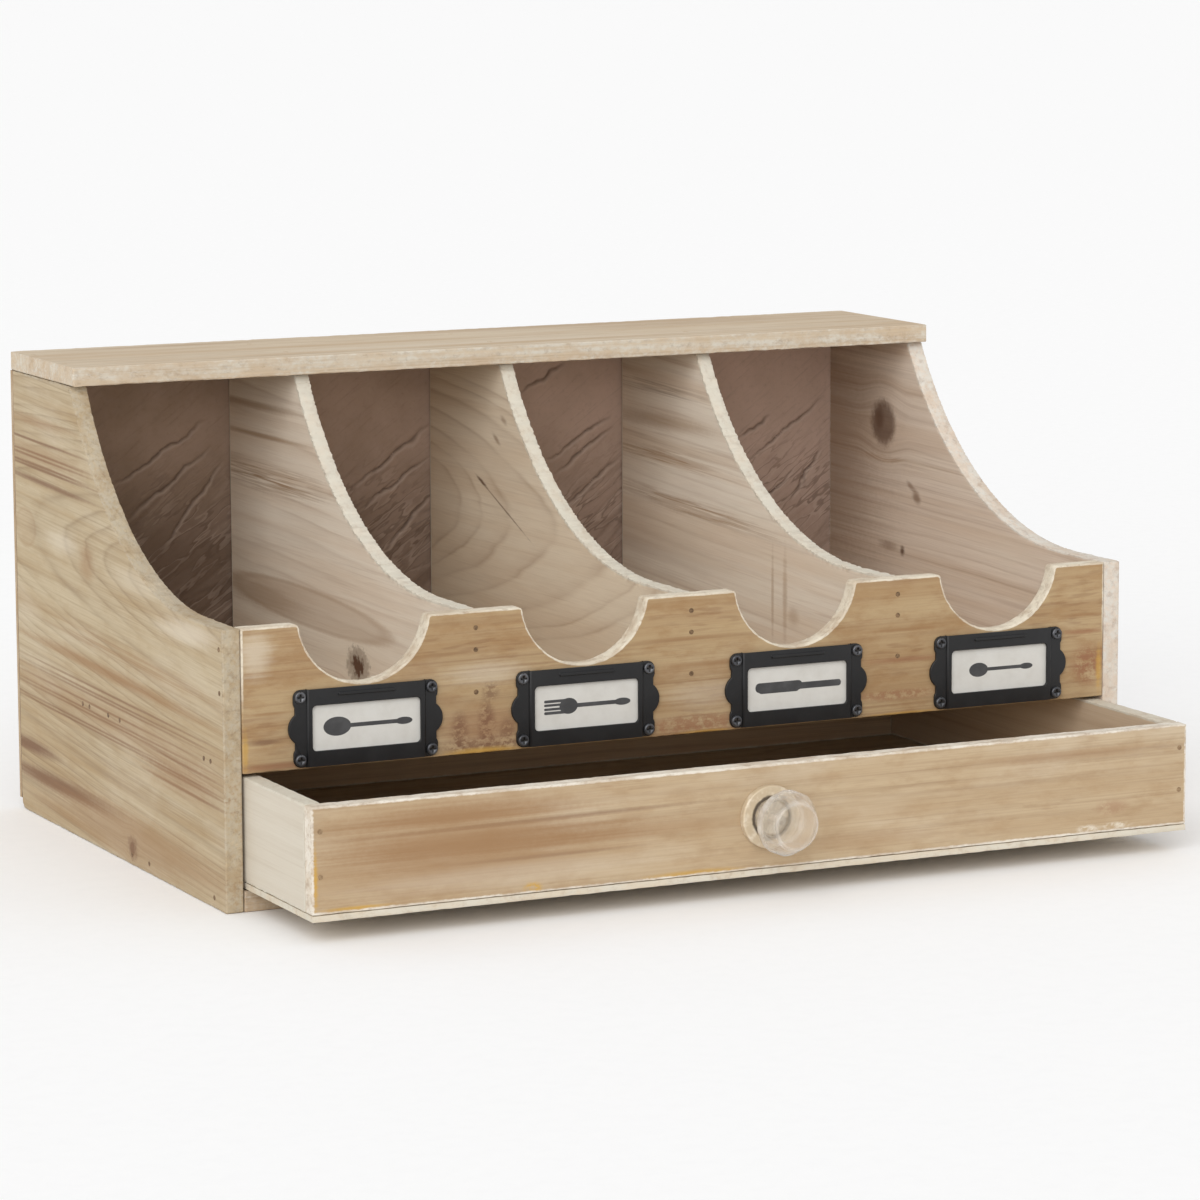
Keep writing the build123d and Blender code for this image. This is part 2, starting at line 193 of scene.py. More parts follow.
class Graph:
    """A material's node tree, with short calls for the nodes that the finishes share."""

    def __init__(self, name: str) -> None:
        """Start a material with a bare shader.

        Args:
            name: The material's name.
        """
        self.material = bpy.data.materials.new(name)
        self.material.use_nodes = True
        self.tree = self.material.node_tree
        self.shader = next(node for node in self.tree.nodes if node.type == "BSDF_PRINCIPLED")

    def feed(self, socket: bpy.types.NodeSocket, value: object) -> None:
        """Link a term to a socket, or set a plain value on it.

        Args:
            socket: The socket.
            value: The term or the plain value.
        """
        if isinstance(value, Term):
            self.tree.links.new(value.socket, socket)
        else:
            socket.default_value = value

    def add(self, kind: str, inputs: dict, **settings: object) -> bpy.types.Node:
        """Add a node.

        Args:
            kind: The node's type.
            inputs: Terms or plain values by socket.
            settings: Properties of the node.

        Returns:
            The node.
        """
        node = self.tree.nodes.new(kind)
        for key, value in settings.items():
            setattr(node, key, value)
        for key, value in inputs.items():
            self.feed(node.inputs[key], value)
        return node

    def math(self, operation: str, first: Value, second: Value = 0.0) -> Term:
        """A Math node's result."""
        node = self.add("ShaderNodeMath", {0: first, 1: second}, operation=operation)
        return Term(self, node.outputs[0])

    def axes(self) -> list[Term]:
        """Read the Object coordinates.

        Returns:
            The three of them, in millimetres.
        """
        place = self.add("ShaderNodeTexCoord", {}).outputs["Object"]
        split = self.add("ShaderNodeSeparateXYZ", {0: Term(self, place)})
        return [Term(self, output) * (1 / MM) for output in split.outputs]

    def attribute(self, name: str) -> Term:
        """A mesh attribute's value."""
        return Term(self, self.add("ShaderNodeAttribute", {}, attribute_name=name).outputs["Fac"])

    def vector(self, *values: Value) -> Term:
        """Up to three values as a vector."""
        return Term(self, self.add("ShaderNodeCombineXYZ", dict(enumerate(values))).outputs[0])

    def reach(self, first: Value, second: Value) -> Term:
        """The length of a pair of values."""
        node = self.add("ShaderNodeVectorMath", {0: self.vector(first, second)}, operation="LENGTH")
        return Term(self, node.outputs["Value"])

    def noise(
        self,
        places: Sequence[Term],
        sizes: Sequence[float],
        seed: float,
        detail: float = 2.0,
        roughness: float = 0.5,
    ) -> Term:
        """Soft noise about 0.5.

        Args:
            places: The coordinates that it is read at.
            sizes: How long a lump is on each.
            seed: Which of many such fields it is.
            detail: How many finer octaves it has.
            roughness: How strong the finer octaves are.

        Returns:
            The noise, 0 to 1.
        """
        vector = self.vector(*(place / size for place, size in zip(places, sizes)))
        inputs = {"Vector": vector, "W": seed, "Scale": 1.0, "Detail": detail, "Roughness": roughness}
        node = self.add("ShaderNodeTexNoise", inputs, noise_dimensions="4D")
        return Term(self, node.outputs[0])

    def ramp(self, share: Term, stops: Sequence[tuple[float, float]]) -> Term:
        """A curve through levels, as a grey ramp.

        Args:
            share: The value, 0 to 1.
            stops: Places on it and the level at each.

        Returns:
            The level.
        """
        node = self.add("ShaderNodeValToRGB", {0: share})
        marks = node.color_ramp.elements
        while len(marks) < len(stops):
            marks.new(0.5)
        for mark, (place, level) in zip(marks, stops):
            mark.position = place
            mark.color = (level, level, level, 1.0)
        return Term(self, node.outputs[0])

    def layers(self, colour: object, *coats: tuple[Term, float, object]) -> object:
        """Lay colours over one another.

        Args:
            colour: The lowest colour.
            coats: For each further one, where it shows, how strongly, and the colour.

        Returns:
            The colour that they make.
        """
        for share, strength, tone in coats:
            if strength:
                inputs = {0: share * strength, 6: colour, 7: tone}
                colour = Term(self, self.add("ShaderNodeMix", inputs, data_type="RGBA").outputs[2])
        return colour

    def close(
        self, colour: object, roughness: Value, relief: Term, depth: float, **sockets: object
    ) -> Material:
        """Feed the shader.

        Args:
            colour: The base colour.
            roughness: The roughness.
            relief: The height of the fine relief, 0 to 1.
            depth: How deep that relief is, in millimetres.
            sockets: Plain values for other sockets of the shader.

        Returns:
            The finished material.
        """
        self.feed(self.shader.inputs["Base Color"], colour)
        self.feed(self.shader.inputs["Roughness"], roughness)
        bump = self.add("ShaderNodeBump", {"Strength": BUMP, "Distance": depth * MM, "Height": relief})
        self.feed(self.shader.inputs["Normal"], Term(self, bump.outputs[0]))
        for key, value in sockets.items():
            self.shader.inputs[key.replace("_", " ")].default_value = value
        return self.material


@dataclass(frozen=True)
class Spot:
    """A knot, stain, crack or scuff, in millimetres of the shared frame along and across a board's face."""

    tint: Tint
    mark: Mark
    along: float
    across: float
    length: float
    height: float
    strength: float
    slope: float = 0.0


def group(tint: Tint, mark: Mark, *rows: tuple[float, ...]) -> tuple[Spot, ...]:
    """Spots of one tint and kind, each row from its place to its strength or slope."""
    return tuple(Spot(tint, mark, *row) for row in rows)


@dataclass(frozen=True)
class WoodFinish:
    """Worn fir: growth rings about a pith, bands, streaks, fibres, stains, knots and washed edges."""

    name: str
    grain: Grain
    pale: Colour
    tan: Colour
    deep: Colour
    pith: tuple[float, float]
    lean: tuple[float, float] = (0.0, 0.0)
    ring: float = 7.0
    sway: float = 5.0
    lines: float = 0.4
    bands: float = 0.6
    streaks: float = 0.35
    dashes: float = 0.0
    mottle: float = 0.0
    fibres: float = 1.0
    bleach: float = 0.3
    wash: float = 0.4
    wash_from: float = -1000.0
    spots: tuple[tuple[Spot, ...], ...] = ()
    seed: float = 1.0
    cream: Colour = paint(208, 202, 187)

    def material(self) -> Material:
        """Build the finish.

        Returns:
            The material, which reads the board's rim attribute.
        """
        graph = Graph(self.name)
        place = graph.axes()
        along, across, through = (place[axis] for axis in self.grain.value)
        level = across - along * self.lean[0]
        spots = [(spot, *self._offset(graph, along, across, spot)) for row in self.spots for spot in row]
        for spot, reach, off in spots:
            if spot.mark in (Mark.KNOT, Mark.BURL):
                level = level - off * reach.smooth(2.6, 0.4) * (spot.height * 0.5)
        lumps = self._lumps(graph, along, level, through)
        rings = self._rings(graph, along, level, through, lumps)
        colour = self._bare(graph, rings, lumps)
        for spot, reach, _ in spots:
            share = self._mark(spot.mark, reach, lumps)
            colour = graph.layers(colour, (share, spot.strength, spot.tint.value))
        rim = graph.attribute("rim")
        cover = (rim * (lumps.ragged * 0.9 + lumps.streak * 0.9 + self.wash)).smooth(0.85, 1.3)
        cover = cover * across.smooth(self.wash_from - 6, self.wash_from + 6)
        colour = graph.layers(colour, (cover, 0.9, self._dust(graph, lumps)))
        relief = lumps.fibre * 0.5 + rings * 0.4 + lumps.streak * 0.3 + lumps.ragged * rim
        return graph.close(colour, lumps.fibre * 0.2 + 0.68, relief, 0.2, Specular_IOR_Level=0.25)

    def _offset(self, graph: Graph, along: Term, across: Term, spot: Spot) -> tuple[Term, Term]:
        """Measure how far a point is from a spot.

        Args:
            graph: The material's tree.
            along: The point's place along the grain.
            across: Its place across the board's face.
            spot: The spot.

        Returns:
            The distance, where 1 is the spot's edge, and the distance across the grain alone.
        """
        run = along - spot.along
        off = (across - run * spot.slope - spot.across) / spot.height
        return graph.reach(run / spot.length, off), off

    def _lumps(self, graph: Graph, *places: Term) -> SimpleNamespace:
        """Make the board's noise fields.

        Args:
            graph: The material's tree.
            places: Coordinates along the grain, across it and through the board.

        Returns:
            The fields, by their names in small letters.
        """
        fields = {}
        for lump in Lump:
            step, length, width, *fineness = lump.value
            fields[lump.name.lower()] = graph.noise(
                places, (length, width, width), self.seed + step, *fineness
            )
        return SimpleNamespace(**fields)

    def _rings(self, graph: Graph, along: Term, level: Term, through: Term, lumps: SimpleNamespace) -> Term:
        """Draw the growth rings about the pith.

        Args:
            graph: The material's tree.
            along: A point's place along the grain.
            level: Its place across the grain.
            through: Its place through the board.
            lumps: The board's noise fields.

        Returns:
            How strongly a ring shows, 0 to 1.
        """
        radius = graph.reach(level - self.pith[0], through - along * self.lean[1] - self.pith[1])
        radius = radius + (lumps.sway - 0.5) * (self.sway * 2) + (lumps.wobble - 0.5) * 1.6
        spread = graph.noise((radius,), (self.ring * 3.5,), self.seed + 7, 1.0) - 0.5
        phase = graph.math("FRACT", (radius + spread * (self.ring * 5)) / self.ring)
        return graph.ramp(phase, RING_CURVE) * (lumps.fade.smooth(0.32, 0.66) * 0.8 + 0.2)

    def _bare(self, graph: Graph, rings: Term, lumps: SimpleNamespace) -> object:
        """Colour the wood without its spots.

        Args:
            graph: The material's tree.
            rings: How strongly a growth ring shows.
            lumps: The board's noise fields.

        Returns:
            The colour.
        """
        hair = lumps.fibre.smooth(0.35, 0.7) * 0.16 + lumps.thread.smooth(0.5, 0.7) * 0.2
        return graph.layers(
            self.pale,
            (lumps.band.smooth(0.38, 0.7), self.bands, self.tan),
            (lumps.blotch.smooth(0.44, 0.68), self.mottle, self.tan),
            (rings, self.lines, self.deep),
            (lumps.streak.smooth(0.5, 0.72) * lumps.cluster.smooth(0.42, 0.62), self.streaks, self.deep),
            (lumps.dash.smooth(0.52, 0.66) * lumps.patch.smooth(0.42, 0.62), self.dashes, self.deep),
            (lumps.cloud.smooth(0.45, 0.75), self.bleach, Tint.PALE.value),
            (hair, self.fibres, self.deep),
        )

    def _dust(self, graph: Graph, lumps: SimpleNamespace) -> object:
        """Colour the wash on the edges, with more bare wood in it where it is weaker.

        Args:
            graph: The material's tree.
            lumps: The board's noise fields.

        Returns:
            The colour.
        """
        return graph.layers(
            self.cream,
            (lumps.blotch.smooth(0.42, 0.64), 0.75 - 0.75 * self.wash, self.tan),
            (lumps.fleck.smooth(0.48, 0.68), 0.55 - 0.45 * self.wash, self.deep),
        )

    def _mark(self, mark: Mark, reach: Term, lumps: SimpleNamespace) -> Term:
        """Draw a spot.

        Args:
            mark: The way that it lies.
            reach: The distance from it, where 1 is its edge.
            lumps: The board's noise fields.

        Returns:
            How strongly it shows, 0 to 1.
        """
        ragged = lumps.ragged - 0.5
        if mark is Mark.LOOP:
            edge = reach + ragged * 0.1
            return edge.smooth(1.06, 0.85) * 0.5 + edge.smooth(0.82, 0.98) * edge.smooth(1.14, 1.0) * 0.5
        if mark is Mark.KNOT:
            return (reach + ragged * 0.5).smooth(1.25, 0.7) * (lumps.streak * 0.5 + 0.55)
        if mark is Mark.BURL:
            edge = reach + ragged * 1.6
            return edge.smooth(1.3, 0.9) * 0.45 + edge.smooth(0.75, 0.35) * 0.55
        if mark is Mark.FLECKS:
            return (reach + (lumps.fleck - 0.5) * 1.6).smooth(1.2, 0.5) * lumps.fleck.smooth(0.4, 0.58)
        edge = reach + ragged * 0.35 + (lumps.streak - 0.5) * 0.9
        if mark is Mark.STREAKS:
            threads = lumps.streak.smooth(0.44, 0.6) * 0.55 + lumps.thread.smooth(0.46, 0.58) * 0.45
            return edge.smooth(1.3, 0.3) * threads
        return edge.smooth(1.2, 0.2)


@dataclass(frozen=True)
class FacingFinish:
    """The dark creased facing of the back panel, with painted shade and painted highlights in its colour.

    Half its width, and the heights where its painted shade and its wrinkles begin and are full, are in
    millimetres.
    """

    name: str = "creased_facing"
    brown: Colour = paint(158, 135, 114)
    mauve: Colour = paint(216, 189, 174)
    dark: Colour = paint(86, 68, 55)
    # painted highlight laid on the crease lips and the wrinkle ridges
    wear_and_highlight: Colour = paint(214, 196, 182)
    half_width: float = 225.0
    # heights where the painted shade low down begins and is full
    shade: tuple[float, float] = (195.0, 105.0)
    wrinkles: tuple[float, float] = (175.0, 125.0)

    def material(self) -> Material:
        """Build the finish, with fine wrinkles low down.

        Returns:
            The material, which reads the panel's crease and lip attributes, which hold painted shade and
            painted highlight.
        """
        graph = Graph(self.name)
        x, _, z = graph.axes()
        slant = (x * 0.8 + z * 0.6, z * 0.8 - x * 0.6)
        cloud = graph.noise((x, z), (40, 40), 21.0, 4.0, 0.6)
        speck = graph.noise((x, z), (2.5, 2.5), 22.0, 4.0, 0.7)
        stroke = graph.noise(slant, (22, 1.6), 23.0, 3.0, 0.6)
        bend = graph.noise(slant, (15, 9), 24.0) - 0.5
        fold = graph.noise(slant, (30, 5), 25.0) + bend * 0.4
        low = z.smooth(*self.wrinkles) * cloud.smooth(0.32, 0.55) * 0.75
        groove, ridge = ((fold - middle) * (fold - middle) for middle in (0.5, 0.55))
        side = x.smooth(-self.half_width, self.half_width)
        colour = graph.layers(
            self.brown,
            # lighter and more mauve towards the right
            (cloud.smooth(0.3, 0.7) * 0.3 + side * 0.7, 1.0, self.mauve),
            # painted shade: darker low down and towards the left, as the side and the dividers shade the panel
            (z.smooth(*self.shade) * (side * -0.42 + 0.85), 1.0, self.dark),
            (speck.smooth(0.5, 0.8) * 0.2 + stroke.smooth(0.52, 0.7) * 0.14, 1.0, self.dark),
            # painted shade in the wrinkles' grooves and painted highlight on their ridges
            (groove.smooth(0.0009, 0.0) * low, 0.6, self.dark),
            (ridge.smooth(0.0012, 0.0) * low, 0.2, self.wear_and_highlight),
            # painted shade along the creases and painted highlight on their lips, from the panel's attributes
            (graph.attribute("crease"), 0.75, self.dark),
            (graph.attribute("lip"), 0.3, self.wear_and_highlight),
        )
        relief = speck * 0.4 + stroke * 0.6 + fold * low * 2.0
        return graph.close(colour, speck * 0.2 + 0.6, relief, 0.5, Specular_IOR_Level=0.25)


@dataclass(frozen=True)
class CoatFinish:
    """Paint, paper or metal: two close tones, a fine texture and a roughness that varies with it."""

    name: str
    tone: Colour
    wear_and_highlight: Colour
    roughness: float
    texture: float
    lump: float = 0.5
    metallic: float = 0.0
    cloud: float = 9.0
    seed: float = 30.0

    def material(self) -> Material:
        """Build the finish.

        Returns:
            The material.
        """
        graph = Graph(self.name)
        places = graph.axes()
        fine = graph.noise(places, (self.lump,) * 3, self.seed, 3.0, 0.6)
        broad = graph.noise(places, (self.cloud,) * 3, self.seed + 1, 3.0, 0.6)
        colour = graph.layers(self.tone, (broad.smooth(0.35, 0.8), 1.0, self.wear_and_highlight))
        rough = (fine + broad) * 0.16 + (self.roughness - 0.16)
        return graph.close(colour, rough, fine, self.texture, Metallic=self.metallic)


@dataclass(frozen=True)
class GlassFinish:
    """Clear pressed glass with faint smears, painted highlights round its face and head, a painted white
    reflection where it turns away, a painted dark outline, and a gloss over it.

    The axis and the radii of the face and of the head are in millimetres.
    """

    axis: tuple[float, float]
    face: float
    head: float
    name: str = "pressed_glass"
    tone: Colour = paint(226, 210, 188)
    # white of the painted reflection and highlights, and the painted dark outline
    white: Colour = paint(238, 233, 227)
    outline: Colour = paint(156, 142, 124)
    bend: float = 1.3
    clear: float = 0.4
    thin: float = 0.3
    # how much less clear the glass gets where it is whitened
    veil_and_sheen: float = 0.65

    def material(self) -> Material:
        """Build the finish.

        Returns:
            The material.
        """
        graph = Graph(self.name)
        x, y, z = graph.axes()
        smear = graph.noise((x, y, z), (7, 7, 7), 41.0, 3.0, 0.6)
        turned = Term(graph, graph.add("ShaderNodeLayerWeight", {"Blend": 0.4}).outputs["Facing"])
        reach = graph.reach(x - self.axis[0], z - self.axis[1])
        # painted highlights round the edge of the face and of the head
        rim_highlights = reach.smooth(self.face - 1.4, self.face) * reach.smooth(self.face + 1.6, self.face + 0.4)
        rim_highlights = (rim_highlights + reach.smooth(self.head - 2.2, self.head - 0.8)) * (smear * 0.8 + 0.3)
        # whiter where it turns away: a painted reflection, which also makes the glass less clear there
        veil_and_sheen = turned.smooth(0.35, 0.95) * 0.8 + smear.smooth(0.45, 0.75) * 0.3 + rim_highlights * 0.7
        # painted reflection and highlights in white, and a painted dark outline where it turns furthest away
        tint = graph.layers(
            self.tone, (veil_and_sheen, 1.0, self.white), (turned.smooth(0.84, 1.0), 0.55, self.outline)
        )
        graph.feed(graph.shader.inputs["Alpha"], veil_and_sheen * self.veil_and_sheen + self.thin)
        return graph.close(
            tint, smear.smooth(0.4, 0.9) * 0.2 + 0.05, smear, 0.1,
            Transmission_Weight=self.clear, IOR=self.bend, Coat_Weight=1.0, Coat_Roughness=0.04,
        )


@dataclass(frozen=True)
class CollarFinish:
    """Pale metal with a painted shadow in the corner round the knob's foot and painted light on the seat under
    it, in millimetres about the knob's axis.
    """

    axis: tuple[float, float]
    foot: float
    name: str = "pale_collar"
    # width of the painted shadow round the foot
    shadow_width: float = 1.7
    tone: Colour = paint(200, 182, 154)
    bright: Colour = paint(244, 236, 220)
    dark: Colour = paint(58, 46, 36)

    def material(self) -> Material:
        """Build the finish.

        Returns:
            The material.
        """
        graph = Graph(self.name)
        x, y, z = graph.axes()
        smear = graph.noise((x, y, z), (3, 3, 3), 43.0, 3.0, 0.6)
        reach = graph.reach(x - self.axis[0], z - self.axis[1]) + (smear - 0.5) * 1.4
        # painted light on the seat under the glass foot, against the shadow that the glass casts there
        seat = reach.smooth(self.foot - 0.5, self.foot - 2.0)
        # painted shadow in the corner round the foot
        corner = reach.smooth(self.foot - 0.6, self.foot)
        corner = corner * reach.smooth(self.foot + self.shadow_width, self.foot + 0.8)
        colour = graph.layers(
            self.tone, (smear.smooth(0.45, 0.7) * 0.4 + seat, 1.0, self.bright), (corner, 0.9, self.dark)
        )
        return graph.close(colour, smear * 0.2 + 0.3, smear, 0.03, Metallic=0.1)


def corners_of(made: Iterable[object]) -> list[BMVert]:
    """The vertices among the items that an operator made."""
    return [item for item in made if isinstance(item, BMVert)]


def sharp_edges(shape: BMesh) -> list[BMEdge]:
    """The edges where a shape turns sharply."""
    return [edge for edge in shape.edges if edge.calc_face_angle(0.0) > SHARP]


def open_edges(shape: BMesh) -> list[BMEdge]:
    """The edges that have a face on one side only."""
    return [edge for edge in shape.edges if edge.is_boundary]


def everything(shape: BMesh) -> list[object]:
    """All the vertices, edges and faces of a shape."""
    return shape.verts[:] + shape.edges[:] + shape.faces[:]


def soften(shape: BMesh, geom: list[object], offset: float, segments: int, affect: str = "EDGES") -> None:
    """Round edges, or vertices of an outline.

    Args:
        shape: The mesh.
        geom: The edges or vertices.
        offset: The size of the round, in millimetres.
        segments: How many parts the round has.
        affect: Whether they are EDGES or VERTICES.
    """
    bmesh.ops.bevel(
        shape, geom=geom, offset=offset * MM, segments=segments, affect=affect, profile=0.5, material=-1
    )


def join(shape: BMesh, chain: Sequence[BMVert]) -> None:
    """Join vertices in a row with edges."""
    for first, second in zip(chain, chain[1:]):
        shape.edges.new((first, second))


def arc(shape: BMesh, start: BMVert, centre: Vector, axis: Vector, angle: float, steps: int) -> BMVert:
    """Sweep a vertex along an arc.

    Args:
        shape: The mesh.
        start: The vertex that the arc leaves.
        centre: The arc's centre.
        axis: The axis that it turns about.
        angle: How far it turns, in radians.
        steps: How many edges it has.

    Returns:
        The vertex at the arc's end.
    """
    swept = bmesh.ops.spin(shape, geom=[start], cent=centre, axis=axis, angle=angle, steps=steps)
    return corners_of(swept["geom_last"])[0]


def thicken(shape: BMesh, by: tuple[float, float, float]) -> None:
    """Fill a closed outline and pull it into a solid.

    Args:
        shape: The outline.
        by: How far it is pulled, in metres.
    """
    bmesh.ops.edgeloop_fill(shape, edges=shape.edges)
    pulled = bmesh.ops.extrude_face_region(shape, geom=shape.faces[:])["geom"]
    bmesh.ops.translate(shape, verts=corners_of(pulled), vec=by)
    bmesh.ops.recalc_face_normals(shape, faces=shape.faces)


def block(low: Vector, high: Vector) -> BMesh:
    """Make a sharp-edged box.

    Args:
        low: Its lowest corner.
        high: Its highest corner.

    Returns:
        The mesh.
    """
    shape = bmesh.new()
    place = Matrix.Translation((low + high) / 2) @ Matrix.Diagonal((*(high - low), 1.0))
    bmesh.ops.create_cube(shape, size=1.0, matrix=place)
    return shape


def copy_of(node: str) -> BMesh:
    """Copy a node's own mesh.

    Args:
        node: The node.

    Returns:
        The mesh, with the corners that meet merged.
    """
    shape = bmesh.new()
    shape.from_mesh(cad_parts[node].data)
    bmesh.ops.remove_doubles(shape, verts=shape.verts, dist=HAIR)
    return shape


def add_piece(
    name: str,
    shape: BMesh,
    materials: Iterable[Material],
    body: str,
    stands_for: Sequence[str] = (),
) -> bpy.types.Object:
    """Turn a shape into a piece of the caddy.

    Args:
        name: The piece's name.
        shape: Its mesh, in metres in the shared frame.
        materials: Its materials, in the order of its faces' numbers.
        body: The body that it rides on.
        stands_for: The nodes that it replaces.

    Returns:
        The piece.
    """
    bmesh.ops.recalc_face_normals(shape, faces=shape.faces)
    mesh = bpy.data.meshes.new(name)
    shape.to_mesh(mesh)
    shape.free()
    for material in materials:
        mesh.materials.append(material)
    mesh.shade_smooth()
    mesh.set_sharp_from_angle(angle=SHADED_SHARP)
    mesh.polygons.foreach_set("use_smooth", [polygon.area < FLAT_AREA for polygon in mesh.polygons])
    piece = bpy.data.objects.new(name, mesh)
    bpy.context.scene.collection.objects.link(piece)
    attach(piece, body)
    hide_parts(*stands_for)
    LOG.info("%s: %d faces on %s", name, len(mesh.polygons), body)
    return piece


def dress_node(node: str, material: Material) -> None:
    """Give a node that keeps its shape a better material.

    Args:
        node: The node.
        material: The material.
    """
    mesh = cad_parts[node].data
    mesh.materials.clear()
    mesh.materials.append(material)
    LOG.info("%s keeps its shape", node)


@dataclass
class Wear:
    """How a board's edges are softened, roughened and chipped, in millimetres.

    The grit and the nicks are lumps to the metre, and a nick starts where its noise is above a level.
    """

    arris: float = 0.6
    rim: float = 1.8
    step: float = 3.0
    jitter: float = 0.3
    chip: float = 0.7
    grit: float = 1300.0
    nicks: float = 90.0
    nick_level: float = 0.42
    seam: float = 0.02
    square_rear: bool = False

    def apply(self, shape: BMesh, along: int, low: Vector, high: Vector) -> None:
        """Wear a sharp-edged board.

        Args:
            shape: The board.
            along: The axis that it is longest on.
            low: Its lowest corner, which it stays above.
            high: Its highest corner, which it stays below.
        """
        sharp = sharp_edges(shape)
        if self.square_rear:
            sharp = [edge for edge in sharp if min(vertex.co.y for vertex in edge.verts) < high.y - HAIR]
        soften(shape, sharp, self.arris, 2)
        rim = shape.verts.layers.float.new("rim")
        for vertex in shape.verts:
            vertex[rim] = 1.0
        broad = max(face.calc_area() for face in shape.faces) / 2
        flats = [face for face in shape.faces if face.calc_area() > broad]
        bmesh.ops.inset_individual(shape, faces=flats, thickness=self.rim * MM, use_even_offset=True)
        for face in flats:
            for vertex in face.verts:
                vertex[rim] = 0.0
        self._cut(shape, along, low, high)
        bmesh.ops.dissolve_degenerate(shape, edges=shape.edges, dist=self.seam * MM)
        flaps = [face for face in shape.faces if any(edge.is_boundary for edge in face.edges)]
        bmesh.ops.delete(shape, geom=flaps, context="FACES")
        self._roughen(shape, low, high)

    def _cut(self, shape: BMesh, along: int, low: Vector, high: Vector) -> None:
        """Cut the board across every few millimetres, so that its edges can wander.

        Args:
            shape: The board.
            along: The axis that it is longest on.
            low: Its lowest corner.
            high: Its highest corner.
        """
        normal = Vector([float(axis == along) for axis in range(3)])
        count = int((high[along] - low[along]) / (self.step * MM))
        for index in range(1, count):
            place = low + (high - low) * (index / count)
            bmesh.ops.bisect_plane(
                shape, geom=everything(shape), dist=HAIR, plane_co=place, plane_no=normal
            )

    def _roughen(self, shape: BMesh, low: Vector, high: Vector) -> None:
        """Push the edges about a little and chip them here and there, inside the board's box.

        Args:
            shape: The board.
            low: Its lowest corner.
            high: Its highest corner.
        """
        rim = shape.verts.layers.float["rim"]
        middle = (low + high) / 2
        for vertex in shape.verts:
            if vertex[rim] < 0.5 or (self.square_rear and vertex.co.y > high.y - HAIR):
                continue
            push = noise.noise_vector(vertex.co * self.grit) * self.jitter * MM
            bite = max(0.0, noise.noise(vertex.co * self.nicks) - self.nick_level) * self.chip * MM
            inward = (middle - vertex.co).normalized()
            moved = vertex.co + push + inward * bite
            vertex.co = Vector(clamp(*place) for place in zip(moved, low, high))


@dataclass
class Board:
    """A straight board, made inside its node's box."""

    node: str
    body: Body
    slot: str
    finish: WoodFinish
    skin: float = 0.12
    wear: Wear = field(default_factory=Wear)

    def corners(self) -> tuple[Vector, Vector]:
        """Find the board's box, a skin inside the node's.

        Returns:
            Its lowest and its highest corner.
        """
        low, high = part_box(self.node)
        skin = Vector((self.skin * MM,) * 3)
        return low + skin, high - skin

    def shape(self, low: Vector, high: Vector) -> BMesh:
        """The sharp-edged board between two corners."""
        return block(low, high)

    def build(self) -> bpy.types.Object:
        """Make the board, wear its edges and dress it.

        Returns:
            The piece.
        """
        low, high = self.corners()
        shape = self.shape(low, high)
        self.wear.apply(shape, self.finish.grain.along, low, high)
        return add_piece(
            f"{self.node}_wood", shape, [self.finish.material()], self.body.value, [self.node]
        )


@dataclass
class SweptBoard(Board):
    """A side or divider: level behind the rail, then a hollow sweep up to the top board."""

    front_height: float = 124.0
    front_line: float = -96.0
    sweep_radius: float = 170.0
    sweep_steps: int = 180
    heel: float = 0.0
    heel_steps: int = 6
    thickness: float = 0.0

    def shape(self, low: Vector, high: Vector) -> BMesh:
        """The sharp-edged board: its outline, thickened, and turned where the board stands askew.

        Args:
            low: Its lowest corner.
            high: Its highest corner.

        Returns:
            The mesh.
        """
        shape = bmesh.new()
        width = self.thickness * MM - 2 * self.skin * MM if self.thickness else high.x - low.x
        x = (low.x + high.x - width) / 2
        level = (self.front_height - self.skin) * MM
        line, radius = self.front_line * MM, self.sweep_radius * MM
        turn = math.acos(1 - (high.z - level) / radius)
        start = shape.verts.new((x, line, level))
        centre = Vector((x, line, level + radius))
        end = arc(shape, start, centre, Vector((1, 0, 0)), turn, self.sweep_steps)
        corners = [(high.y, high.z), (high.y, low.z), (low.y, low.z), (low.y, level)]
        chain = [end, *(shape.verts.new((x, y, z)) for y, z in corners), start]
        join(shape, chain)
        if self.heel:
            soften(shape, [chain[2]], self.heel, self.heel_steps, "VERTICES")
        thicken(shape, (width, 0, 0))
        if self.thickness:
            lean = Matrix.Rotation(math.asin((high.x - low.x - width) / (high.y - low.y)), 3, "Z")
            bmesh.ops.rotate(shape, verts=shape.verts, cent=(low + high) / 2, matrix=lean)
        return shape


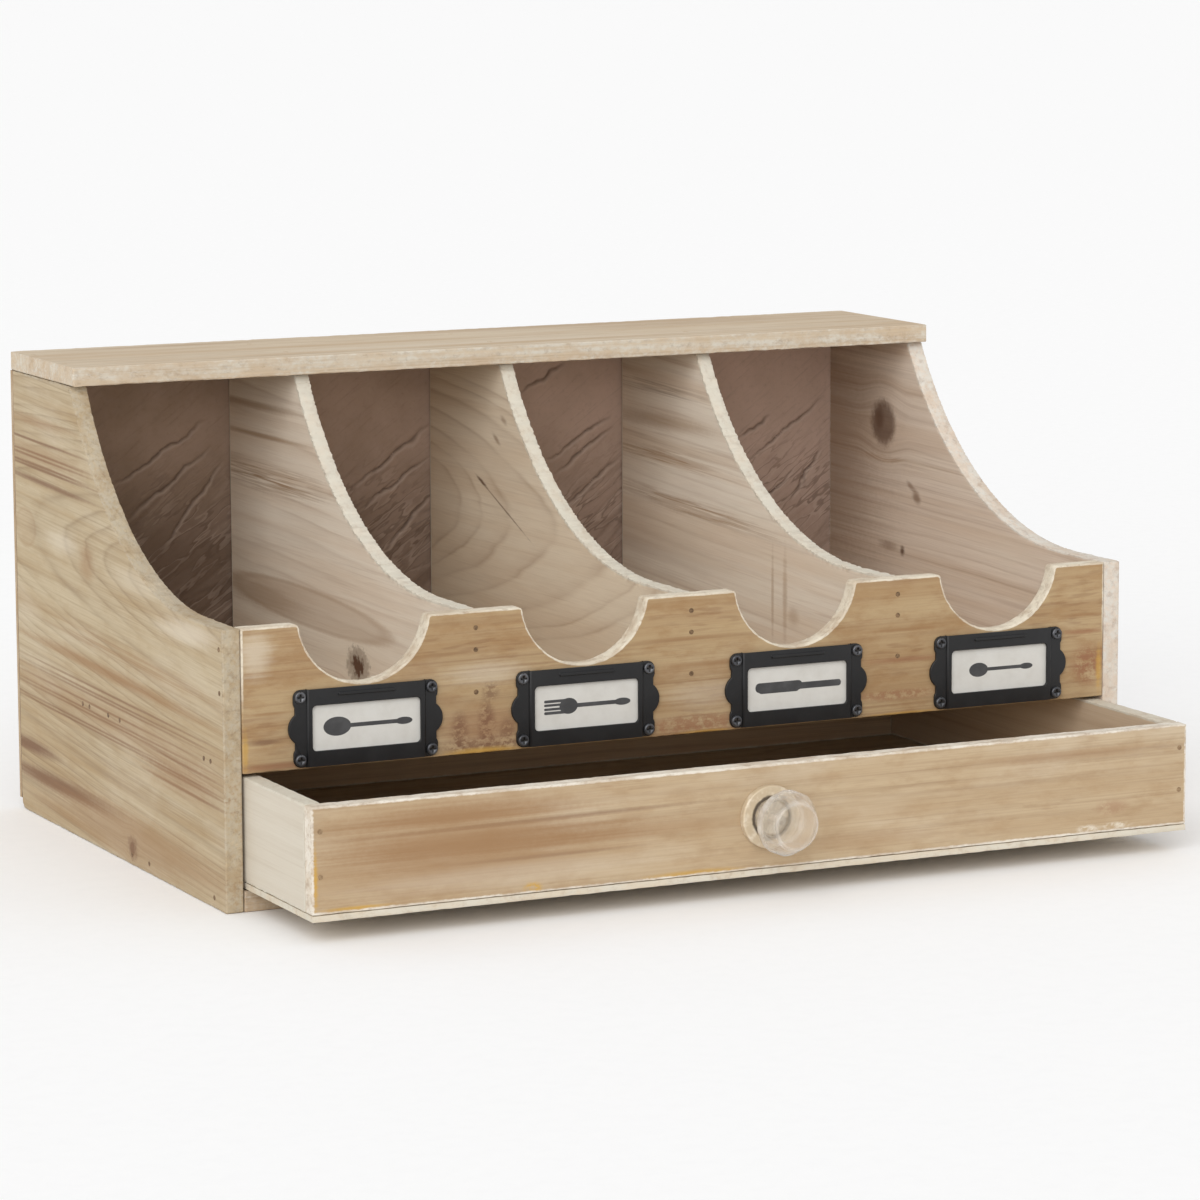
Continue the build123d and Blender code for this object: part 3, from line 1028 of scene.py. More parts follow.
@dataclass
class RailBoard(Board):
    """The front rail, with a half-round scoop above each label."""

    stations: tuple[float, ...] = (-159.0, -53.0, 53.0, 159.0)
    scoop_width: float = 61.0
    scoop_depth: float = 27.5
    scoop_round: float = 1.8
    scoop_steps: int = 40
    round_steps: int = 6

    def shape(self, low: Vector, high: Vector) -> BMesh:
        """The sharp-edged rail: its outline with rounded scoops, thickened.

        Args:
            low: Its lowest corner.
            high: Its highest corner.

        Returns:
            The mesh.
        """
        shape = bmesh.new()
        deep, small = self.scoop_depth * MM, self.scoop_round * MM
        radius = ((self.scoop_width * MM) ** 2 / 4 + deep**2) / (2 * deep)
        centre_z = high.z - deep + radius
        drop = centre_z - high.z + small
        out = math.sqrt((radius + small) ** 2 - drop**2)
        lean = math.asin(drop / (radius + small))
        bend = math.pi / 2 - lean
        back = Vector((0, 1, 0))
        chain = [(shape.verts.new((low.x, low.y, high.z)),) * 2]
        for station in self.stations:
            x = station * MM
            left, right = (Vector((x + side * out, low.y, high.z - small)) for side in (-1, 1))
            first = shape.verts.new((left.x, low.y, high.z))
            lip = arc(shape, first, left, back, bend, self.round_steps)
            rise = arc(shape, lip, Vector((x, low.y, centre_z)), -back, 2 * bend, self.scoop_steps)
            chain.append((first, arc(shape, rise, right, back, bend, self.round_steps)))
        for x, z in ((high.x, high.z), (high.x, low.z), (low.x, low.z)):
            chain.append((shape.verts.new((x, low.y, z)),) * 2)
        for (_, first), (second, _) in zip(chain, chain[1:] + chain[:1]):
            shape.edges.new((first, second))
        thicken(shape, (0, high.y - low.y, 0))
        return shape


@dataclass
class BackPanel:
    """The thin panel behind the compartments, faced with a dark sheet that has creased."""

    node: str = "back_panel"
    pitch: float = 0.85
    floor_line: float = 66.0
    seat_line: float = 217.0
    skin: float = 0.12
    sink: float = 0.6
    groove: float = 0.8
    groove_width: float = 0.6
    lip: float = 0.3
    lip_width: float = 0.8
    lip_off: float = 1.4
    wrinkle_top: float = 165.0
    wrinkle_fade: float = 40.0
    creases: tuple[tuple[float, float, float, float], ...] = (
        (-176, 152, -126, 183), (-170, 136, -124, 170), (-152, 122, -118, 162), (-206, 150, -186, 164),
        (-54, 142, -8, 174), (-48, 133, -8, 159), (-96, 120, -60, 146), (-34, 112, -8, 140),
        (53, 151, 92, 174), (58, 145, 93, 168), (40, 187, 66, 201), (62, 126, 96, 152), (10, 122, 44, 150),
        (162, 157, 182, 169), (168, 144, 214, 177), (193, 123, 212, 150), (118, 118, 152, 148),
        (172, 120, 196, 140),
    )

    def build(self) -> bpy.types.Object:
        """Make the panel from a fine grid that sinks along its creases.

        Returns:
            The piece.
        """
        base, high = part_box(self.node)
        low = Vector((base.x, base.y, self.floor_line * MM))
        size = high - low
        shape = bmesh.new()
        columns, rows = (int(length / (self.pitch * MM)) for length in (size.x, size.z))
        place = Matrix.Translation((low + high) / 2) @ Matrix.Rotation(math.pi / 2, 4, "X")
        stretch = Matrix.Diagonal((size.x / 2, size.z / 2, 1, 1))
        bmesh.ops.create_grid(shape, x_segments=columns, y_segments=rows, size=1.0, matrix=place @ stretch)
        crease, lip = (shape.verts.layers.float.new(name) for name in ("crease", "lip"))
        for vertex in shape.verts:
            # the crease and lip attributes hold painted shade and painted highlight for the facing's colour
            depth, vertex[crease], vertex[lip] = self._relief(vertex.co.x / MM, vertex.co.z / MM)
            vertex.co.y = low.y + depth * MM
        foot = low.z + 0.1 * MM
        hem = [edge for edge in open_edges(shape) if max(vertex.co.z for vertex in edge.verts) < foot]
        for vertex in corners_of(bmesh.ops.extrude_edge_only(shape, edges=hem)["geom"]):
            vertex.co.z = base.z
        faced = set(shape.faces)
        for vertex in corners_of(bmesh.ops.extrude_edge_only(shape, edges=open_edges(shape))["geom"]):
            vertex.co.y = high.y - self.skin * MM
        bmesh.ops.holes_fill(shape, edges=open_edges(shape))
        for face in shape.faces:
            face.material_index = 0 if face in faced else 1
        materials = [FacingFinish().material(), BOARDS["hardboard"].material()]
        return add_piece(
            "back_panel_faced", shape, materials, Body.CARCASS.value, [self.node]
        )

    def _relief(self, x: float, z: float) -> tuple[float, float, float]:
        """Shape the facing at a point.

        Args:
            x: The point's place across the panel, in millimetres.
            z: Its height, in millimetres.

        Returns:
            How far the facing sinks, in millimetres, how much painted shade a crease gets there and how much
            painted highlight its lip gets.
        """
        if abs(x) > self.seat_line:
            return 0.0, 0.0, 0.0

        def ripple(size: float, seed: float) -> float:
            """Noise in lumps of a size."""
            return noise.noise(Vector((x / size, z / size, seed)))

        wander = ripple(14, 3.0) * 2.4 + ripple(4, 4.0) * 0.8
        # the shares of painted shade along each crease and of painted highlight on the lip to one side of it
        dark = wear_and_highlight = 0.0
        for x0, z0, x1, z1 in self.creases:
            run = Vector((x1 - x0, z1 - z0))
            reach = Vector((x - x0, z - z0))
            share = reach.dot(run) / run.length_squared
            if not 0.0 < share < 1.0:
                continue
            off = (run.x * reach.y - run.y * reach.x) / run.length + wander
            taper = 1.0 - abs(2 * share - 1) ** 3
            dark = max(dark, bell(off, self.groove_width) * taper)
            wear_and_highlight = max(wear_and_highlight, bell(off + self.lip_off, self.lip_width) * taper)
        along, across = x * 0.8 + z * 0.6, z * 0.8 - x * 0.6
        bend = noise.noise(Vector((along / 15, across / 9, 8.0))) * 0.35
        fold = noise.noise(Vector((along / 34, across / 8, 9.0))) + bend
        wrinkled = clamp((self.wrinkle_top - z) / self.wrinkle_fade) * clamp(0.7 + 1.6 * ripple(26, 11.0))
        # painted shade in the low wrinkles' folds and painted highlight beside them
        dark = max(dark, bell(fold, 0.14) * wrinkled * 0.3)
        wear_and_highlight = max(wear_and_highlight, bell(fold - 0.34, 0.2) * wrinkled * 0.2)
        swell = ripple(45, 6.0) * 0.25 + ripple(2.4, 7.0) * 0.06
        depth = self.sink + swell + self.groove * dark - self.lip * wear_and_highlight
        return max(0.0, depth), dark, wear_and_highlight


class Sign(Enum):
    """Plain signs of cutlery as ovals and rounded bars: kind, place along and up, length and height in mm."""

    SPOON = (("oval", -13.5, 0, 13, 8.4), ("bar", 5.5, 0, 30, 1.8), ("oval", 18, 0, 8, 3.2))
    FORK = (
        ("oval", -8.5, 0, 9, 7.2), ("bar", -14.5, 2.6, 12, 1.3), ("bar", -14.5, 0.9, 12, 1.1),
        ("bar", -14.5, -0.9, 12, 1.1), ("bar", -14.5, -2.6, 12, 1.3), ("bar", 6, 0, 28, 1.8),
        ("oval", 18, 0, 8, 3.2),
    )
    KNIFE = (("bar", -9, 0.4, 24, 4.4), ("bar", -9, -0.6, 21, 3.6), ("bar", 12, 0, 22, 3.0))
    TEASPOON = (("oval", -10.5, 0, 10, 6.6), ("bar", 4.5, 0, 25, 1.6), ("oval", 15, 0, 7, 2.8))


@dataclass
class Label:
    """One label: its black frame, its card and the plain sign of a piece of cutlery on the card."""

    number: int
    sign: Sign
    arris: float = 0.22
    corner: float = 1.0
    window: float = 16.8
    ink: float = 0.015
    bar_round: float = 0.45
    round_steps: int = 4
    oval_steps: int = 32

    def build(self) -> None:
        """Make the frame, the card and the sign."""
        holder, card, body = (f"{kind}_{self.number}" for kind in ("label_holder", "label_card", "card"))
        shape = copy_of(holder)
        bmesh.ops.dissolve_limit(shape, angle_limit=math.radians(1), verts=shape.verts, edges=shape.edges)
        soften(shape, sharp_edges(shape), self.arris, 2)
        black = [COATS["black"].material()]
        add_piece(f"{holder}_black", shape, black, Body.CARCASS.value, [holder])
        low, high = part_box(card)
        shape = block(low, high)
        deep = 0.5 * (high.y - low.y)
        upright = [edge for edge in shape.edges if abs(edge.verts[0].co.y - edge.verts[1].co.y) > deep]
        soften(shape, upright, self.corner, self.round_steps)
        add_piece(f"{card}_paper", shape, [COATS["paper"].material()], body, [card])
        middle = Vector(((low.x + high.x) / 2, low.y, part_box(holder)[0].z + self.window * MM))
        ink = [COATS["ink"].material()]
        add_piece(f"card_sign_{self.number}", self._sign(middle), ink, body)

    def _sign(self, middle: Vector) -> BMesh:
        """The sign's printed shape, lying along the card.

        Args:
            middle: The middle of the card's face in the frame's window.

        Returns:
            The mesh.
        """
        shape = bmesh.new()
        for layer, (kind, x, z, length, height) in enumerate(self.sign.value, start=1):
            place = Matrix.Translation((x * MM, 0, z * MM)) @ Matrix.Rotation(math.pi / 2, 4, "X")
            place = place @ Matrix.Diagonal((length * MM / 2, height * MM / 2, 1, 1))
            printed = set(shape.faces)
            if kind == "oval":
                bmesh.ops.create_circle(
                    shape, cap_ends=True, segments=self.oval_steps, radius=1.0, matrix=place
                )
            else:
                made = bmesh.ops.create_grid(shape, x_segments=1, y_segments=1, size=1.0, matrix=place)
                soften(shape, made["verts"], self.bar_round * height, self.round_steps, "VERTICES")
            fresh = [face for face in shape.faces if face not in printed]
            pulled = bmesh.ops.extrude_face_region(shape, geom=fresh)["geom"]
            bmesh.ops.translate(shape, verts=corners_of(pulled), vec=(0, -self.ink * layer * MM, 0))
        bmesh.ops.translate(shape, verts=shape.verts, vec=middle)
        return shape


@dataclass
class Knob:
    """The pressed-glass knob, turned about its axis and cut with flats round its widest part."""

    node: str = "knob"
    foot_radius: float = 8.5
    neck_radius: float = 7.6
    neck_height: float = 7.0
    head_radius: float = 15.0
    head_height: float = 14.0
    face_radius: float = 10.0
    height: float = 24.0
    dish: float = 1.2
    socket_radius: float = 2.05
    socket_depth: float = 9.0
    rounding: float = 1.1
    round_steps: int = 4
    flats: int = 8
    flat_cut: float = 0.8
    steps: int = 96

    def build(self) -> None:
        """Turn the glass, cut its flats, set it on its collar and dress the metal behind it."""
        low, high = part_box(self.node)
        shape = bmesh.new()
        outline = (
            (0.0, self.height - self.dish), (self.face_radius * 0.5, self.height - self.dish * 0.75),
            (self.face_radius, self.height), (self.head_radius, self.head_height),
            (self.foot_radius, self.neck_height), (self.neck_radius, self.neck_height / 2),
            (self.foot_radius, 0.0), (self.socket_radius, 0.0), (self.socket_radius, self.socket_depth),
            (0.0, self.socket_depth),
        )
        chain = [shape.verts.new((radius * MM, 0, rise * MM)) for radius, rise in outline]
        join(shape, chain)
        soften(shape, [chain[2], chain[3], chain[5]], self.rounding, self.round_steps, "VERTICES")
        bmesh.ops.spin(
            shape, geom=everything(shape), cent=(0, 0, 0), axis=(0, 0, 1), angle=2 * math.pi,
            steps=self.steps, use_merge=True,
        )
        bmesh.ops.remove_doubles(shape, verts=shape.verts, dist=HAIR)
        self._cut_flats(shape)
        bmesh.ops.recalc_face_normals(shape, faces=shape.faces)
        x, z = (low.x + high.x) / 2, (low.z + high.z) / 2
        seat = Matrix(((1, 0, 0, 0), (0, 0, -1, high.y), (0, 1, 0, z), (0, 0, 0, 1)))
        bmesh.ops.transform(shape, matrix=seat, verts=shape.verts)
        axis = (x / MM, z / MM)
        glass = GlassFinish(axis, self.face_radius, self.head_radius).material()
        add_piece("knob_glass", shape, [glass], Body.DRAWER.value, [self.node])
        dress_node("knob_collar", CollarFinish(axis, self.foot_radius).material())
        for node in ("knob_bolt", "knob_washer", "knob_nut"):
            dress_node(node, COATS["nickel"].material())

    def _cut_flats(self, shape: BMesh) -> None:
        """Cut the flats round the head and close them.

        Args:
            shape: The turned glass, about the upright axis.
        """
        reach = (self.head_radius - self.flat_cut) * MM
        for index in range(self.flats):
            angle = 2 * math.pi * (index + 0.5) / self.flats
            normal = Vector((math.cos(angle), math.sin(angle), 0))
            bmesh.ops.bisect_plane(
                shape, geom=everything(shape), dist=HAIR, plane_co=normal * reach, plane_no=normal,
                clear_outer=True,
            )
            bmesh.ops.holes_fill(shape, edges=open_edges(shape))


COATS = {
    # satin black of the frames, also laid in the screws' cross slots as painted shade
    "black": CoatFinish("satin_black_and_slot_shade", paint(15, 15, 17), paint(26, 26, 28), 0.42, 0.04, 0.4),
    "paper": CoatFinish("label_paper", paint(216, 214, 208), paint(207, 204, 197), 0.8, 0.02, 0.3),
    "ink": CoatFinish("printed_sign", paint(64, 64, 65), paint(84, 84, 85), 0.7, 0.01, 0.3),
    "steel": CoatFinish("dark_steel", paint(70, 71, 75), paint(118, 119, 123), 0.34, 0.03, 0.5, 0.6),
    "nail": CoatFinish("rusted_nail", paint(92, 70, 48), paint(156, 126, 92), 0.65, 0.05, 0.4, 0.1, 1.4),
    "sunk": CoatFinish("sunk_nail", paint(128, 102, 74), paint(164, 138, 104), 0.7, 0.05, 0.4, 0.0, 1.4),
    "filler": CoatFinish("filled_nail", paint(196, 178, 152), paint(182, 160, 132), 0.75, 0.05, 0.4),
    "nickel": CoatFinish("dull_nickel", paint(226, 220, 208), paint(206, 198, 184), 0.3, 0.02, 0.8, 0.2),
}

BOARDS = {
    "left_side": WoodFinish(
        "left_side_fir", Grain.UPRIGHT_DEEP,
        paint(192, 176, 147), paint(166, 140, 103), paint(110, 83, 56),
        pith=(136.0, -263.5), lean=(0.045, -0.1), ring=3.9, sway=2.5, bands=0.7, streaks=0.3, wash=0.25,
        mottle=0.25, fibres=0.8, seed=1.3, cream=paint(182, 170, 149),
        spots=(
            group(
                Tint.UMBER, Mark.SMUDGE,
                *((z - 75, z, 85, 0.9, 0.8, 0.02) for z in (180.5, 174.5, 172.5, 169, 167.5)),
                *((150 - 2 * z, z, 150, 0.8, 0.7, 0.02) for z in (74, 71.5, 70, 66, 62.5, 61, 56, 54.5)),
                *((z - 135, z, 60, 1.0, 0.75, 0.03) for z in (57.5, 52, 50.5, 46)),
            ),
            group(
                Tint.BROWN, Mark.SMUDGE, (95, 174, 75, 7, 0.4, 0.02), (0, 63, 200, 13, 0.35, 0.02),
                (-85, 50, 60, 9, 0.5), (100, 190, 60, 3, 0.5, 0.02), (10, 84, 150, 3.5, 0.7, 0.03),
            ),
            group(Tint.BROWN, Mark.STREAKS, (0, 95, 160, 5, 0.5, 0.04)),
            group(
                Tint.UMBER, Mark.SMUDGE, (90, 161.5, 70, 1.6, 0.8, 0.03), (120, 33, 45, 4, 0.95),
                (80, 20, 90, 5, 0.95),
            ),
            group(Tint.BROWN, Mark.SMUDGE, (-20, 12, 160, 14, 0.55)),
            group(Tint.UMBER, Mark.BURL, (-20, 8, 6, 5, 0.9)),
            group(Tint.PALE, Mark.SMUDGE, (-95, 117, 45, 6, 0.55, -0.03), (68, 137, 26, 7, 0.4)),
            group(Tint.BROWN, Mark.SMUDGE, (34, 132, 12, 11, 0.5)),
            group(Tint.BROWN, Mark.LOOP, (118, 138, 14, 9, 0.35)),
            group(Tint.PALE, Mark.SMUDGE, (-30, 131, 40, 7, 0.3)),
        ),
    ),
    "right_side": WoodFinish(
        "right_side_fir", Grain.UPRIGHT_DEEP,
        paint(222, 206, 189), paint(200, 174, 148), paint(140, 106, 82),
        pith=(330.0, 330.0), lean=(0.02, 0.0), lines=0.3, bands=0.5, streaks=0.25, wash=0.3, fibres=0.6,
        seed=11.7, cream=paint(212, 207, 197),
        spots=(
            # a broad darkening over the rear half of the board
            group(Tint.UMBER, Mark.SMUDGE, (135, 150, 80, 100, 0.55)),
            group(Tint.KNOT, Mark.KNOT, (76, 168, 12, 11.5, 1.0)),
            group(Tint.KNOT, Mark.SMUDGE, (80, 170, 5, 7, 0.7), (56, 105, 3, 3, 0.9)),
            group(
                Tint.UMBER, Mark.SMUDGE, (42, 134, 5, 4, 0.7, 0.3), (48, 139, 5, 2, 0.6, 0.3),
                (70, 106, 12, 3, 0.5),
            ),
            group(Tint.BROWN, Mark.STREAKS, (60, 150, 80, 2, 0.5)),
        ),
    ),
    "divider_left": WoodFinish(
        "divider_left_fir", Grain.UPRIGHT_DEEP,
        paint(232, 220, 203), paint(214, 192, 168), paint(158, 126, 102),
        pith=(-160.0, -420.0), lean=(0.01, 0.0), ring=8.0, lines=0.3, bands=0.5, streaks=0.2, wash=0.7,
        fibres=0.45, seed=3.1,
        spots=(
            group(Tint.BROWN, Mark.LOOP, (40, 102, 92, 9, 0.6, 0.02)),
            group(
                Tint.BROWN, Mark.SMUDGE, (90, 100, 60, 8, 0.4), (100, 192, 70, 2.5, 0.6),
                (90, 178, 70, 1.5, 0.6),
            ),
            group(Tint.BROWN, Mark.STREAKS, (80, 158, 85, 8, 0.8)),
            group(Tint.PALE, Mark.SMUDGE, (-16.6, 82.4, 17, 12, 0.7)),
            group(Tint.KNOT, Mark.BURL, (-16.6, 82.4, 11, 8, 1.0)),
        ),
    ),
    "divider_middle": WoodFinish(
        "divider_middle_fir", Grain.UPRIGHT_DEEP,
        paint(219, 204, 181), paint(199, 174, 145), paint(146, 113, 86),
        pith=(135.0, -69.4), lean=(0.0, 0.118), ring=6.0, bands=0.4, streaks=0.15, wash=0.7, fibres=0.45,
        seed=5.9,
        spots=(
            group(Tint.KNOT, Mark.SMUDGE, (48, 141, 31, 0.7, 0.65, 0.43), (72, 151.5, 7, 1.3, 0.9, 0.4)),
            group(Tint.UMBER, Mark.SMUDGE, (56, 174, 5, 2, 0.6, 0.5), (48, 184, 4, 2, 0.5, 0.3)),
        ),
    ),
    "divider_right": WoodFinish(
        "divider_right_fir", Grain.UPRIGHT_DEEP,
        paint(230, 219, 203), paint(208, 183, 156), paint(152, 118, 92),
        pith=(420.0, 300.0), lean=(0.04, 0.0), ring=8.0, lines=0.3, bands=0.5, streaks=0.3, wash=0.7,
        fibres=0.45, seed=7.4,
        spots=(
            group(
                Tint.BROWN, Mark.SMUDGE, (-24, 102, 1.6, 25, 0.4), (-36, 102, 2.6, 25, 0.4, -0.1),
                (-44, 94, 7, 5, 0.35), (90, 174, 60, 5, 0.5),
            ),
            group(Tint.BROWN, Mark.STREAKS, (80, 156, 70, 5, 0.7, 0.02), (60, 134, 100, 5, 0.7, 0.05)),
            group(Tint.UMBER, Mark.STREAKS, (90, 190, 60, 4, 0.5, 0.03)),
        ),
    ),
    "top_board": WoodFinish(
        "top_board_fir", Grain.LYING_WIDE,
        paint(206, 190, 166), paint(190, 163, 130), paint(138, 113, 88),
        pith=(420.0, 120.0), ring=8.0, lines=0.25, wash=0.15, mottle=0.3, seed=9.2,
        spots=(
            group(
                Tint.BROWN, Mark.SMUDGE, (130, 112, 110, 14, 0.25), (-150, 124, 70, 6, 0.35),
                (60, 128, 150, 5, 0.4),
            ),
            group(Tint.PALE, Mark.SMUDGE, (20, 70, 160, 7, 0.4)),
        ),
        cream=paint(209, 203, 190),
    ),
    "front_rail": WoodFinish(
        "front_rail_fir", Grain.UPRIGHT_WIDE,
        paint(183, 158, 121), paint(158, 123, 84), paint(122, 84, 58),
        pith=(-120.0, -160.0), lean=(0.01, 0.0), ring=6.5, lines=0.2, dashes=0.3, mottle=0.6, fibres=0.6,
        bleach=0.12, wash=0.5, wash_from=92, seed=13.3, cream=paint(226, 217, 198),
        spots=(
            group(
                Tint.UMBER, Mark.FLECKS, (-114, 70, 5, 11, 0.9), (-91, 68, 5, 9, 0.8), (-101, 72, 5, 14, 1.0),
                (-99, 88, 5, 5, 0.7), (-104, 64, 24, 4, 0.8),
            ),
            group(
                Tint.RED, Mark.SMUDGE, (-102, 72, 24, 11, 0.35), (-200, 63, 22, 2, 0.7),
                (110, 86, 26, 1.5, 0.6), (206, 92, 14, 1.4, 0.7),
            ),
            group(Tint.UMBER, Mark.SMUDGE, (-206, 74, 10, 1.5, 0.7)),
            group(Tint.RED, Mark.FLECKS, (2, 65, 34, 5, 0.7), (106, 70, 28, 3, 0.7), (208, 76, 10, 11, 0.9)),
            group(
                Tint.BROWN, Mark.SMUDGE, (-204, 86, 12, 1, 0.7), (10, 92, 30, 1.2, 0.6),
                (-4, 104, 26, 1.2, 0.6), (108, 100, 24, 1.2, 0.7), (204, 100, 14, 1.2, 0.7),
            ),
            group(
                Tint.PALE, Mark.SMUDGE, (-210, 112, 10, 12, 0.5), (-100, 96, 22, 6, 0.35),
                (8, 78, 24, 8, 0.3),
            ),
            group(
                Tint.OCHRE, Mark.SMUDGE, (-215, 70, 1.8, 10, 0.6), (-104, 61.5, 22, 2, 0.8),
                (8, 61, 18, 1.2, 0.7), (110, 61, 22, 1.2, 0.6), (214, 74, 1.8, 12, 0.6),
            ),
        ),
    ),
    "drawer_front": WoodFinish(
        "drawer_front_fir", Grain.UPRIGHT_WIDE,
        paint(189, 167, 136), paint(170, 142, 108), paint(126, 95, 66),
        pith=(-140.0, -330.0), ring=13.0, lines=0.2, bands=0.4, streaks=0.25, dashes=0.12, mottle=0.6,
        fibres=0.6, seed=15.8, cream=paint(228, 221, 208),
        spots=(
            group(
                Tint.BROWN, Mark.SMUDGE, (-150, 50, 62, 5, 0.75), (-135, 37, 82, 6, 0.75),
                (-60, 36, 60, 5, 0.4),
            ),
            group(Tint.UMBER, Mark.SMUDGE, (-110, 44.5, 100, 1.2, 0.6, 0.01), (-110, 28.5, 50, 1.0, 0.5)),
            group(Tint.BROWN, Mark.SMUDGE, (-150, 36, 85, 24, 0.6)),
            group(Tint.PALE, Mark.SMUDGE, (-120, 22, 90, 6, 0.25)),
            group(Tint.OCHRE, Mark.FLECKS, (-113.7, 15, 5, 3, 1.0)),
            group(
                Tint.OCHRE, Mark.SMUDGE, (-36, 14, 26, 1.8, 0.7), (-214, 28, 1.6, 16, 0.8),
                (-196, 14, 18, 1.8, 0.8),
            ),
            group(Tint.PALE, Mark.FLECKS, (163, 14.8, 7, 2.6, 1.0), (178, 15.5, 9, 1.8, 0.9)),
            group(Tint.BROWN, Mark.SMUDGE, (150, 50, 60, 3, 0.5), (40, 22, 50, 5, 0.3)),
            group(Tint.RED, Mark.FLECKS, (176, 24, 10, 4, 0.4)),
        ),
    ),
    "drawer_left_side": WoodFinish(
        "drawer_left_fir", Grain.UPRIGHT_DEEP,
        paint(208, 200, 185), paint(198, 187, 169), paint(172, 155, 134),
        pith=(-200.0, -420.0), ring=9.0, lines=0.25, bands=0.5, streaks=0.2, bleach=0.1, wash=0.5, fibres=0.6,
        seed=17.5,
    ),
    "drawer_right_side": WoodFinish(
        "drawer_right_fir", Grain.UPRIGHT_DEEP,
        paint(200, 178, 152), paint(184, 156, 126), paint(150, 122, 96),
        pith=(-200.0, 420.0), ring=9.0, lines=0.25, bands=0.5, streaks=0.25, bleach=0.1, wash=0.5, fibres=0.6,
        seed=18.3,
    ),
    "drawer_back": WoodFinish(
        "drawer_back_fir", Grain.UPRIGHT_WIDE,
        paint(208, 186, 158), paint(186, 158, 128), paint(138, 110, 86),
        pith=(-160.0, -90.0), seed=19.1,
    ),
    "compartment_floor": WoodFinish(
        "floor_fir", Grain.LYING_WIDE,
        paint(204, 184, 158), paint(176, 148, 118), paint(128, 102, 78),
        pith=(-300.0, -60.0), ring=8.0, wash=0.1, seed=21.6,
    ),
    "base_board": WoodFinish(
        "base_fir", Grain.LYING_WIDE,
        paint(192, 171, 144), paint(164, 136, 106), paint(122, 96, 72),
        pith=(60.0, -110.0), ring=8.0, wash=0.1, seed=23.4,
    ),
    "ply": WoodFinish(
        "drawer_ply", Grain.LYING_WIDE,
        paint(222, 206, 180), paint(206, 184, 153), paint(158, 132, 104),
        pith=(0.0, -900.0), ring=1.1, lines=0.5, sway=3.0, wash=0.5, seed=25.2,
    ),
    "hardboard": WoodFinish(
        "panel_rear", Grain.UPRIGHT_WIDE,
        paint(182, 158, 127), paint(162, 135, 104), paint(122, 96, 72),
        pith=(600.0, 900.0), ring=9.0, lines=0.25, bands=0.4, wash=0.0, seed=27.9,
    ),
}


@dataclass
class Carcass:
    """The box: sides, top, floor, base, rail, dividers and back panel, with their nails."""

    divider_thickness: float = 7.3
    heel: float = 4.0

    def build(self) -> None:
        """Make every board and dress the nails."""
        body, fir = Body.CARCASS, "carcass_fir"
        rear, rail = Wear(square_rear=True), Wear(rim=1.0, jitter=0.25)
        fine, thickness = Wear(arris=0.5, jitter=0.6, chip=0.5), self.divider_thickness
        for node in ("left_side", "right_side"):
            SweptBoard(node, body, fir, BOARDS[node], wear=rear, heel=self.heel).build()
        for node in ("divider_left", "divider_middle", "divider_right"):
            SweptBoard(node, body, "divider_fir", BOARDS[node], wear=fine, thickness=thickness).build()
        for node in ("top_board", "compartment_floor", "base_board"):
            Board(node, body, fir, BOARDS[node]).build()
        RailBoard("front_rail", body, "rail_fir", BOARDS["front_rail"], wear=rail).build()
        BackPanel().build()
        for node in ("side_nails", "rail_nails", "back_tacks"):
            dress_node(node, COATS["nail"].material())
        dress_node("top_nails", COATS["filler"].material())


@dataclass
class Labels:
    """The four labels on the rail and their screws."""

    signs: tuple[Sign, ...] = (Sign.SPOON, Sign.FORK, Sign.KNIFE, Sign.TEASPOON)
    slot_top: float = 0.1
    slot_floor: float = 0.65
    slot_skew: float = 0.02

    def build(self) -> None:
        """Make the labels and dress the screws."""
        for number, sign in enumerate(self.signs, start=1):
            Label(number, sign).build()
        self._screws()

    def _screws(self) -> None:
        """Paint shade into the cross slots of a copy of the screws, in black."""
        node = "label_screws"
        shape = copy_of(node)
        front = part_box(node)[0].y
        for face in shape.faces:
            sunk = face.calc_center_median().y - front
            sideways = min(abs(face.normal.x), abs(face.normal.z)) < self.slot_skew
            # faces inside the cross slots get black, as painted shade
            face.material_index = int(self.slot_top * MM < sunk < self.slot_floor * MM and sideways)
        materials = [COATS["steel"].material(), COATS["black"].material()]
        add_piece("label_screw_heads", shape, materials, Body.CARCASS.value, [node])


@dataclass
class Drawer:
    """The drawer box with its nails and knob."""

    knob: Knob = field(default_factory=Knob)

    def build(self) -> None:
        """Make the drawer's boards, dress its nails and turn its knob."""
        body, fir = Body.DRAWER, "drawer_fir"
        wear_and_highlight, thin = Wear(rim=2.2, chip=1.2), Wear(arris=0.3, rim=0.8)
        Board("drawer_front", body, fir, BOARDS["drawer_front"], wear=wear_and_highlight).build()
        for node in ("drawer_left_side", "drawer_right_side", "drawer_back"):
            Board(node, body, fir, BOARDS[node]).build()
        Board("drawer_bottom", body, "drawer_ply", BOARDS["ply"], wear=thin).build()
        dress_node("drawer_nails", COATS["sunk"].material())
        dress_node("drawer_tacks", COATS["nail"].material())
        self.knob.build()


